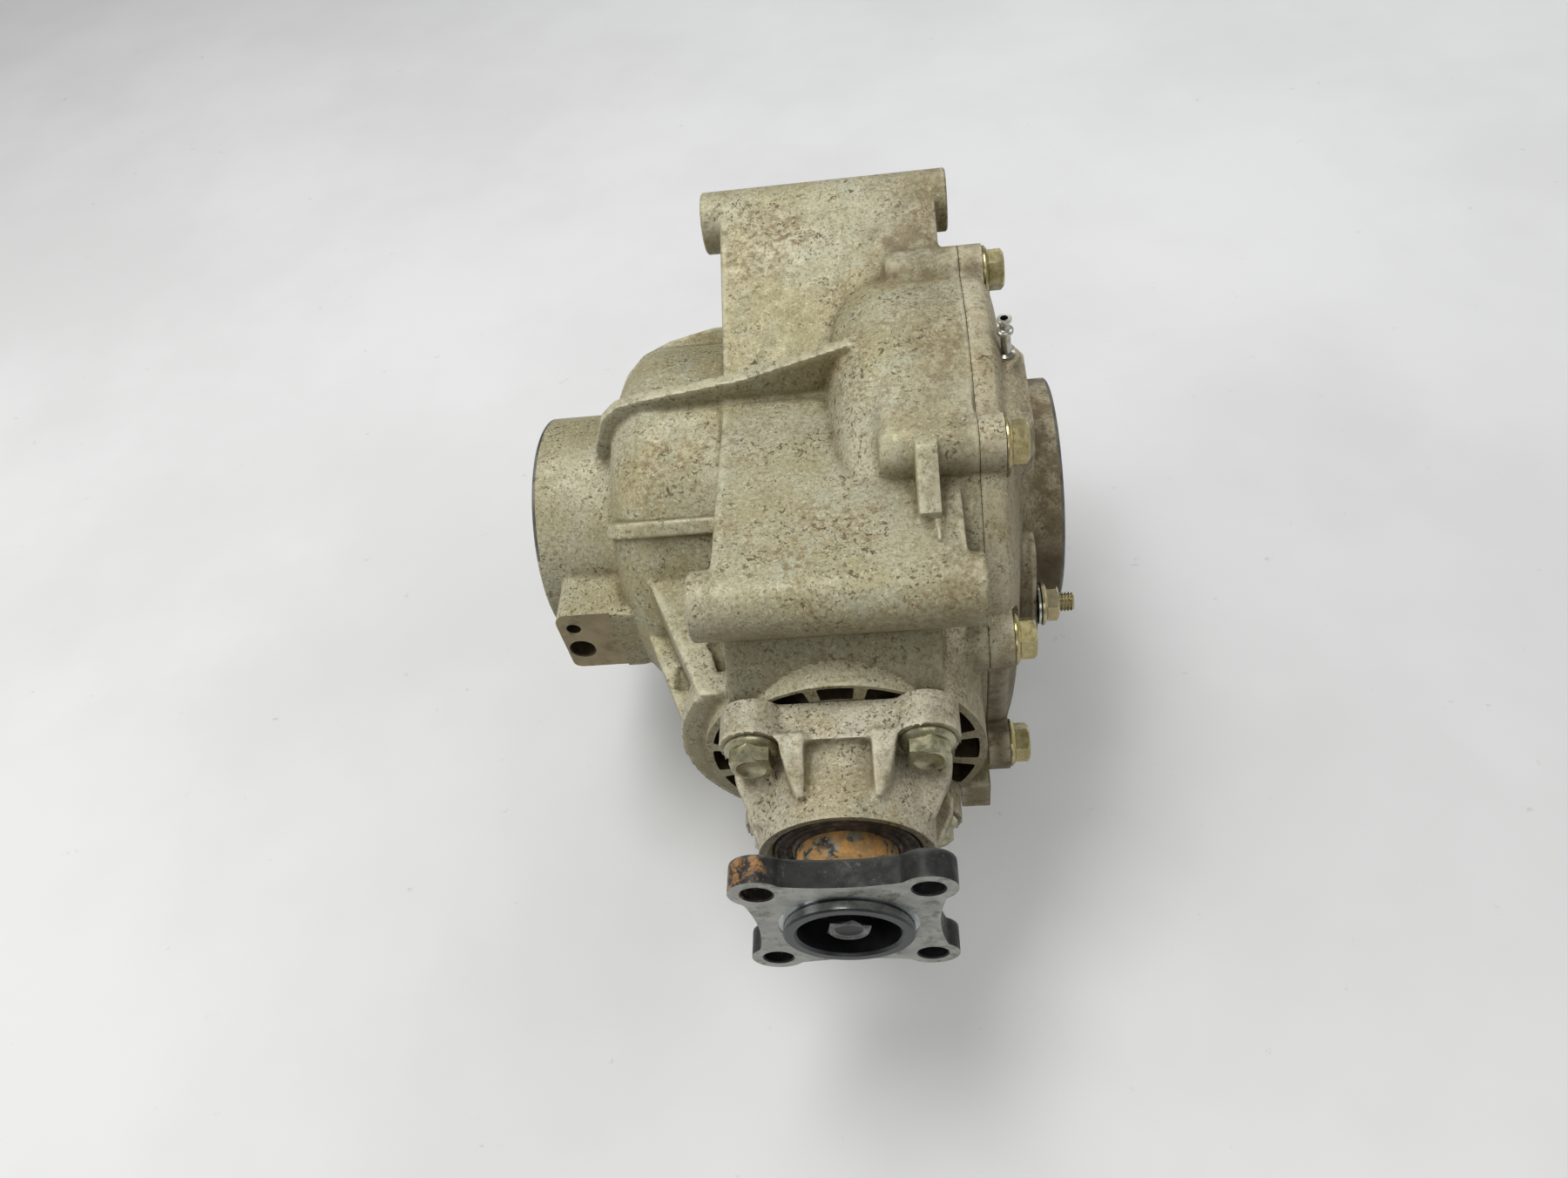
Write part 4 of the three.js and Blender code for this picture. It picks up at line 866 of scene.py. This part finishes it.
def four_ears(offset, ear_radius, waist, steps=14):
    """Outline with four ears on a square, joined by hollow flanks."""
    outline = []
    sweep = math.radians(100)
    for ear in range(4):
        heading = math.radians(45 + 90 * ear)
        centre = Vector((math.cos(heading), math.sin(heading))) * offset * math.sqrt(2)
        for i in range(steps + 1):
            angle = heading - sweep + 2 * sweep * i / steps
            outline.append(tuple(centre + Vector((math.cos(angle), math.sin(angle))) * ear_radius))
        leave = Vector(outline[-1])
        middle = heading + math.pi / 4
        out = Vector((math.cos(middle), math.sin(middle)))
        side = Vector((-out.y, out.x))
        along = leave.dot(out)
        arrive = out * along - side * leave.dot(side)
        control = out * (2 * waist - along)
        for i in range(1, steps):
            t = i / steps
            outline.append(tuple(leave * (1 - t) ** 2 + control * 2 * t * (1 - t) + arrive * t ** 2))
    return outline


def carrier_castings():
    seam = NECK_Y - SEAM_GAP
    nose_end = CARRIER_NOSE_Y - CAST_SLACK
    ears = extruded("Y", four_ears(CARRIER_BOLT, 11.7, 37), CARRIER_SEAT_Y - CAST_SLACK, seam + CAST_SLACK)
    nose = turned("Y", [
        (nose_end, 0), (nose_end, 31.3), (34, 31.5), (44, 31.4), (48.5, 32.2), (51, 34),
        (CARRIER_SEAT_Y + 1, 35.5), (CARRIER_SEAT_Y + 1, 0),
    ], sides=128)
    corners = (
        (11.5, 31.5, 26), (15.5, 31.5, 26), (12, 31.5, 31.4), (14, 31.5, 31.4), (11, 53.5, 26),
        (22, 53.5, 26), (11.4, 53.5, 39), (20.5, 53.5, 39), (11.6, 46, 38), (19.5, 46, 38),
    )
    webs = []
    for turn in range(4):
        for side in (-1, 1):
            web = hull([(side * x, y, z) for x, y, z in corners])
            webs.append(moved(web, Matrix.Rotation(math.radians(90 * turn), 4, "Y")))
    return [ears, nose, *webs]


def build_carrier():
    carrier = new_object("pinion_carrier_cast", carrier_castings())
    skin(carrier, voxel=0.8, rounds=0)
    carve(carrier, [rod("Y", 11.6, 15, CARRIER_SEAT_Y, (x, 0, z), 64) for x, z in CARRIER_BOLT_PLACES])
    skin(carrier, voxel=0.8, rounds=4)
    measure_hollows(carrier)
    seam = NECK_Y - SEAM_GAP
    carve(carrier, [half_block("Y", seam, seam + 20, 70), half_block("Y", -20, CARRIER_NOSE_Y, 70)])
    spigot_r, groove_r = TUNNEL_R - 0.3, TUNNEL_R - 2.6
    join(carrier, turned("Y", [
        (seam - 4, 0), (seam - 4, spigot_r), (69.8, spigot_r), (69.8, groove_r), (72.4, groove_r),
        (72.4, spigot_r), (78.5, spigot_r), (79, TUNNEL_R - 0.8), (79, 0),
    ]))
    carve(carrier, [turned("Y", [
        (20, 0), (20, 30.5), (CARRIER_NOSE_Y + 0.5, 30.5), (CARRIER_NOSE_Y + 0.5, 28.2),
        (CARRIER_NOSE_Y + 2.4, 26.3), (34, 26.3), (34, 22), (44, 22), (44, 31.3), (80, 31.3), (80, 0),
    ])])
    carve(carrier, [drilled(BOLT_HOLE_R, CARRIER_SEAT_Y, 20, x, z, 0.3) for x, z in CARRIER_BOLT_PLACES])
    shade(carrier)
    finish_piece(carrier, carrier_metal, "housing", "carrier", "pinion_carrier")


# ---- Fasteners and fittings ---------------------------------------------------------------


def hex_head(axis, corner_r, start, end, centre, turn):
    """A hexagon with its outer corners chamfered; `end` is the outer face."""
    sign = math.copysign(1, end - start)
    flat = corner_r * math.cos(math.pi / 6)
    points = []
    for i in range(6):
        angle = turn + i * math.pi / 3
        points.append(on_axis(axis, start, corner_r, angle, centre))
        points.append(on_axis(axis, end - sign * corner_r * 0.13, corner_r, angle, centre))
        points.append(on_axis(axis, end - sign * corner_r * 0.03, flat * 0.995, angle + math.pi / 6, centre))
    points += [on_axis(axis, end, flat * 0.93, 2 * math.pi * i / 48, centre) for i in range(48)]
    return hull(points)


def flange_bolt(name, axis, seat, tip, out, centre, material, body, slot, turn, dish=5.3):
    """Hexagon bolt with a washer flange and a dished head; `out` is the sign of the head's way."""
    def part(profile, sides):
        return turned(axis, outward(seat, out, profile), centre, sides)
    bolt = new_object(name + "_look", [part([
        (0.05, 0), (0.05, 9.3), (0.4, 9.7), (1.0, HEAD_FLANGE_R), (1.4, 9.5), (2.2, 8.5), (2.6, 7.4),
        (2.6, 0),
    ], 64)])
    join(bolt, hex_head(axis, HEX_R, seat + out * 1.2, seat + out * 8.4, centre, turn))
    shank = [(seat + out, 0), (seat + out, 4.8), (tip + out, 4.8), (tip, 4.0), (tip, 0)]
    join(bolt, turned(axis, shank, centre, 32))
    carve(bolt, [part([
        (9.4, 0), (9.4, dish + 0.3), (8.4, dish), (7.6, dish * 0.8), (7.2, dish * 0.45), (7.1, 0),
    ], 48)])
    shade(bolt, 28)
    return finish_piece(bolt, material, body, slot, name)


def thread(radius, pitch, start, end, centre):
    """A closed threaded rod along X: one helical ridge over a core, with plain ends."""
    sides, rows_per_turn, fade_rows = 28, 6, 4
    rows = int((end - start) / pitch * rows_per_turn)
    points, faces = [], []
    for row in range(rows + 1):
        along = start + (end - start) * row / rows
        fade = min(1.0, row / fade_rows, (rows - row) / fade_rows)
        for i in range(sides):
            phase = (row / rows_per_turn + i / sides) % 1.0
            valley = abs(2 * phase - 1)
            depth = radius - 0.62 * pitch * valley * (0.35 + 0.65 * fade) - 0.5 * (1 - fade)
            points.append(on_axis("X", along, depth, 2 * math.pi * i / sides, centre))
    for row in range(rows):
        for i in range(sides):
            j = (i + 1) % sides
            a, b = row * sides, (row + 1) * sides
            faces.append((a + i, a + j, b + j, b + i))
    faces.append(tuple(reversed(range(sides))))
    faces.append(tuple(range(rows * sides, (rows + 1) * sides)))
    return points, faces


def simple_piece(name, solid, material, slot, degrees=32, body="housing"):
    piece = new_object(name + "_look", [solid])
    shade(piece, degrees)
    return finish_piece(piece, material, body, slot, name)


def build_bolts():
    turns = (0.1, 0.5, 0.26, 0.35, 0.7, 0.2, 0.9, 0.45)
    for number, (place, tip, turn) in enumerate(zip(COVER_BOLT_PLACES, COVER_BOLT_TIPS, turns), 1):
        flange_bolt(f"cover_bolt_{number}", "X", COVER_FACE_X, tip, 1, (0, *place), bolt_metal,
                    "housing", "zinc", turn)
    for number, ((x, z), turn) in enumerate(zip(CARRIER_BOLT_PLACES, (0.62, 0.35, 0.8, 0.15)), 1):
        flange_bolt(f"carrier_bolt_{number}", "Y", CARRIER_SEAT_Y, 86, -1, (x, 0, z), carrier_bolt_metal,
                    "housing", "zinc", turn)
    centre_bolt = flange_bolt("flange_bolt", "Y", 6, 40, -1, (0, 0, 0), dark_bolt_metal, "input_shaft",
                              "bright", 0.3, dish=6.1)
    dish_front = -1.4
    # Painted shade: the bolt's sides and flange, down in the flange's recess, are near-black; only its head's
    # face keeps the zinc.
    paint_faces(centre_bolt, lambda place, _: recess_shade if place.y > dish_front else dark_bolt_metal)


def build_plugs():
    rim = [(0.3, 0), (0.3, 11.2), (0.6, 11.5), (1.9, 11.5), (2.5, 10.8), (2.5, 0)]
    dish = [(8, 0), (8, 4.6), (7, 4.2), (6, 3.4), (5.6, 0)]
    for name, axis, seat, out, centre in (
        ("drain_plug", "Z", DRAIN_Z, -1, DRAIN_CENTRE), ("fill_plug", "Y", FILL_Y, 1, FILL_CENTRE),
    ):
        plug = new_object(name + "_look", [turned(axis, outward(seat, out, rim), centre, 64)])
        join(plug, hex_head(axis, 9.8, seat + out * 1.5, seat + out * 7, centre, 0.3))
        join(plug, rod(axis, PLUG_R, seat - out * 10, seat + out, centre, 48))
        carve(plug, [turned(axis, outward(seat, out, dish), centre, 40)])
        shade(plug)
        finish_piece(plug, bolt_metal, "housing", "zinc", name)


def build_breather():
    """Tube fitting that leans a little out of its seat."""
    bore_r = 1.45
    profile = [
        (-8, 1.0), (-8, 1.6), (0.2, 1.6), (0.2, 2.9), (0.5, 3.1), (1.1, 3.1), (1.6, 1.9), (10.3, 1.85),
        (10.5, 2.2), (10.7, 2.9), (11.2, 3.1), (12.0, 3.1), (12.6, 2.6), (13.0, 1.9), (15.0, 1.9),
        (15.9, 2.5), (16.3, 2.7), (17.2, 2.7), (17.45, 2.5), (17.5, bore_r), (16.9, 1.15), (15, 1.0),
    ]
    lean = Matrix.Translation(BREATHER) @ Matrix.Rotation(math.radians(-4.5), 4, "Y")
    fitting = moved(turned("Z", profile, sides=48), lean)
    breather = simple_piece("breather_fitting", fitting, bright_metal, "bright", 40)
    axis = lean.to_3x3() @ Vector((0, 0, 1))

    # Painted shade: the fitting's bore is near-black.
    def choose(place, normal):
        out = place - Vector(BREATHER)
        return recess_shade if (out - axis * out.dot(axis)).length < bore_r else bright_metal
    paint_faces(breather, choose)


def build_stud():
    centre = (0, STUD_Y, STUD_Z)
    simple_piece("bracket_stud", thread(3.9, 1.25, 68, STUD_END_X, centre), stud_metal, "zinc", 60)
    washer = [(77.3, 4.3), (77.3, 8.1), (77.4, 8.2), (78.2, 8.2), (78.3, 8.1), (78.3, 4.3)]
    simple_piece("stud_washer", turned("X", washer, centre, 64), bright_metal, "bright")
    nut = new_object("stud_nut_look", [turned("X", [
        (78.6, 0), (78.6, 8.6), (78.8, 8.8), (79.6, 8.8), (80.2, 8.1), (80.8, 7.0), (80.8, 0),
    ], centre, 64)])
    join(nut, hex_head("X", 7.5, 79.6, 85.4, centre, 0.4))
    carve(nut, [turned("X", [(76, 0), (76, 4.1), (84.8, 4.1), (85.4, 4.7), (87, 4.7), (87, 0)], centre, 40)])
    shade(nut)
    finish_piece(nut, stud_metal, "housing", "zinc", "stud_nut")


def build_sleeves():
    for name, tube in zip(("front", "top"), TUBES):
        left, right = tube["left"] + 0.5, tube["right"] - 0.5
        profile = [
            (left, 5.8), (left, 7.4), (left + 0.5, 8.0), (right - 0.5, 8.0), (right, 7.4), (right, 5.8),
            (right - 0.6, 5.2), (left + 0.6, 5.2),
        ]
        sleeve = turned("X", profile, tube["centre"], 64)
        simple_piece(f"{name}_mount_sleeve", sleeve, iron_metal, "iron")


def build_seals():
    """Lip seals: a steel case bonded in rubber, a dust lip and the garter spring's bulge."""
    for name, axis, front, inward, inner, outer, centre in (
        ("pinion_seal", "Y", 25.6, 1, HUB_R + 0.3, 26.0, (0, 0, 0)),
        ("left_axle_seal", "X", -94.3, 1, 17.0, 30.0, AXLE),
        ("right_axle_seal", "X", 75.2, -1, 17.0, 30.0, AXLE),
    ):
        step = (outer - inner) / 6
        profile = outward(front, inward, [
            (0.5, outer), (0, outer - 0.5), (0, outer - step), (0.7, outer - 1.25 * step),
            (0.9, outer - 2.6 * step), (0.4, outer - 2.9 * step), (0.4, outer - 3.6 * step),
            (1.2, outer - 4 * step), (1.4, inner + 1.2 * step), (0.3, inner + 0.5 * step), (0.2, inner + 0.1),
            (0.8, inner), (2.4, inner + 0.2), (3.4, inner + 0.9 * step), (3.4, outer - 2), (8, outer - 2),
            (8, outer),
        ])
        simple_piece(name, turned(axis, profile, centre), seal_rubber, "rubber", 50)


def build_input_flange():
    plate = extruded("Y", four_ears(FLANGE_BOLT, 9.6, 30.8, 20), -CAST_SLACK, 10)
    swell = turned("Y", [
        (-CAST_SLACK, 0), (-CAST_SLACK, 26), (10, 26), (12, 24), (14, 20.5), (16, 18.6), (18, HUB_R),
        (20, HUB_R), (20, 0),
    ], sides=128)
    flange = skin(new_object("input_flange_look", [plate, swell]), voxel=0.6, rounds=4)
    measure_hollows(flange)
    carve(flange, [half_block("Y", -20, 0, 70)])
    join(flange, rod("Y", HUB_R, 19, 45.7))
    front = PILOT_FRONT_Y
    pilot = [(3, 0), (3, PILOT_R), (front + 0.6, PILOT_R), (front, PILOT_R - 0.7), (front, 0)]
    join(flange, turned("Y", pilot, sides=128))
    bore = turned("Y", [
        (-6, 0), (-6, 18.6), (front, 18.6), (-2.9, 17.7), (8, 17.7), (8, 5.2), (12.3, 5.2),
        (12.3, 13.8), (47, 13.8), (47, 0),
    ])
    hole = [(-3, 0), (-3, 5.8), (0, 5.8), (0.5, 5.3), (9.4, 5.3), (10.2, 6), (22, 6), (22, 0)]
    holes = [turned("Y", hole, (x * FLANGE_BOLT, 0, z * FLANGE_BOLT), 40) for x in (-1, 1) for z in (-1, 1)]
    carve(flange, [bore, *holes, ring("Y", PILOT_R, PILOT_R + 1.6, -2, 0.45, sides=128)])
    shade(flange, 30)
    finish_piece(flange, flange_side, "input_shaft", "flange", "input_flange")
    paint_faces(flange, flange_part)
    washer = [(6.3, 5.3), (6.3, 12.3), (6.5, 12.5), (7.6, 12.5), (7.8, 12.3), (7.8, 5.3)]
    # The washer down in the recess is near-black, painted shade.
    simple_piece("flange_washer", turned("Y", washer, sides=64), recess_shade, "bright", body="input_shaft")


def flange_part(place, normal):
    """Face, recess, pilot, hub and forged rest of the flange, told apart by place."""
    radius = math.hypot(place.x, place.z)
    if normal.y < -0.99 and abs(place.y) < 0.1:
        return flange_face
    # The flange's recess is near-black, painted shade.
    if radius < 17.8 and -3.5 < place.y < 8.2:
        return recess_shade
    if place.y < -3.6 or (place.y < 0 and radius < PILOT_R - 0.9):
        return pilot_front
    if place.y < 0.3 and abs(radius - PILOT_R) < 1.0 and abs(normal.y) < 0.8:
        return pilot_side
    if place.y < 0.6 and radius < PILOT_R + 2.6:
        return pilot_side
    return hub_rust if place.y > 13.5 else flange_side


FRAME_FINISH = {  # part of a node's name, the more particular first
    "gasket": gasket_rubber, "oring": seal_rubber, "bearing_rollers": cage_metal, "bearing": race_metal,
    "spacer": iron_metal, "ring_gear_bolt": iron_metal, "differential_case": iron_metal,
    "gear": gear_metal, "shaft": gear_metal,
}


def finish_frame():
    """Gives every node that still shows its procedural finish and lightly broken edges."""
    for name, node in frame["nodes"].items():
        if node.hide_render:
            continue
        key = next(key for key in FRAME_FINISH if key in name)
        node.data.materials.clear()
        node.data.materials.append(FRAME_FINISH[key])
        if "rollers" not in name:
            bevel = node.modifiers.new("edge", "BEVEL")
            bevel.width = 0.15 * MM
            bevel.limit_method = "ANGLE"
            bevel.angle_limit = math.radians(35)


# ---- Studio -------------------------------------------------------------------------------


def floor_paint():
    p = Paint("floor_board")
    color = p.mix(p.patches(260, 4, 0.6, 0.35, 0.65), (0.83, 0.85, 0.865), (0.77, 0.785, 0.8))
    color = p.over(color, (0.36, 0.34, 0.3), p.patches(14, 5, 0.7, 0.66, 0.74), 0.35)
    return p.done(color, 0.6, 0.0, p.bump(p.noise(3, 3), 0.05, 0.1))


def area_light(name, place, size, power, color):
    """A rectangular light in watts and metres, aimed at the middle of the object."""
    light = bpy.data.lights.new(name, "AREA")
    light.shape = "RECTANGLE"
    light.size, light.size_y = size
    light.energy = power
    light.color = color
    obj = link_object(name, light)
    obj.location = place
    aim = Vector((0.0, 0.0, 0.1)) - Vector(place)
    obj.rotation_euler = aim.to_track_quat("-Z", "Y").to_euler()


def build_studio():
    bpy.ops.mesh.primitive_plane_add(size=6, location=(0, 0, 0))
    floor = bpy.context.object
    floor.name = "floor"
    floor.data.materials.append(floor_paint())
    world = bpy.data.worlds.new("studio")
    world.use_nodes = True
    background = world.node_tree.nodes["Background"]
    background.inputs["Color"].default_value = (1.0, 0.99, 0.96, 1.0)
    background.inputs["Strength"].default_value = 0.25
    scene = bpy.context.scene
    scene.world = world
    scene.view_settings.view_transform = "Standard"
    warm, cool = (1.0, 0.98, 0.95), (0.95, 0.97, 1.0)
    area_light("key", (-0.35, 0.2, 1.5), (0.8, 0.5), 10, warm)
    area_light("left", (-1.4, -0.3, 0.8), (0.9, 0.7), 7.5, warm)
    area_light("front", (0.1, -1.3, 1.1), (1.0, 0.6), 3, warm)
    area_light("right", (1.3, 0.1, 1.0), (0.8, 0.7), 4.5, warm)
    area_light("back", (0.5, 1.4, 1.0), (1.0, 0.6), 4, cool)


def place_camera():
    camera = bpy.data.cameras.new("camera")
    camera.lens, camera.sensor_width = 26.0, 36.0
    obj = link_object("camera", camera)
    right = Vector((0.99166935, 0.01686818, -0.12770029))
    up = Vector((0.06592842, 0.78522154, 0.6156952))
    forward = Vector((-0.11065868, 0.61898514, -0.77756804))
    basis = Matrix((right, up, -forward)).transposed().to_4x4()
    obj.matrix_world = Matrix.Translation(Vector((28.0, -147.9, 370.1)) * MM + ORIGIN) @ basis
    bpy.context.scene.camera = obj


build_case()
build_cover()
build_carrier()
build_bolts()
build_plugs()
build_breather()
build_stud()
build_sleeves()
build_seals()
build_input_flange()
finish_frame()
build_studio()
place_camera()
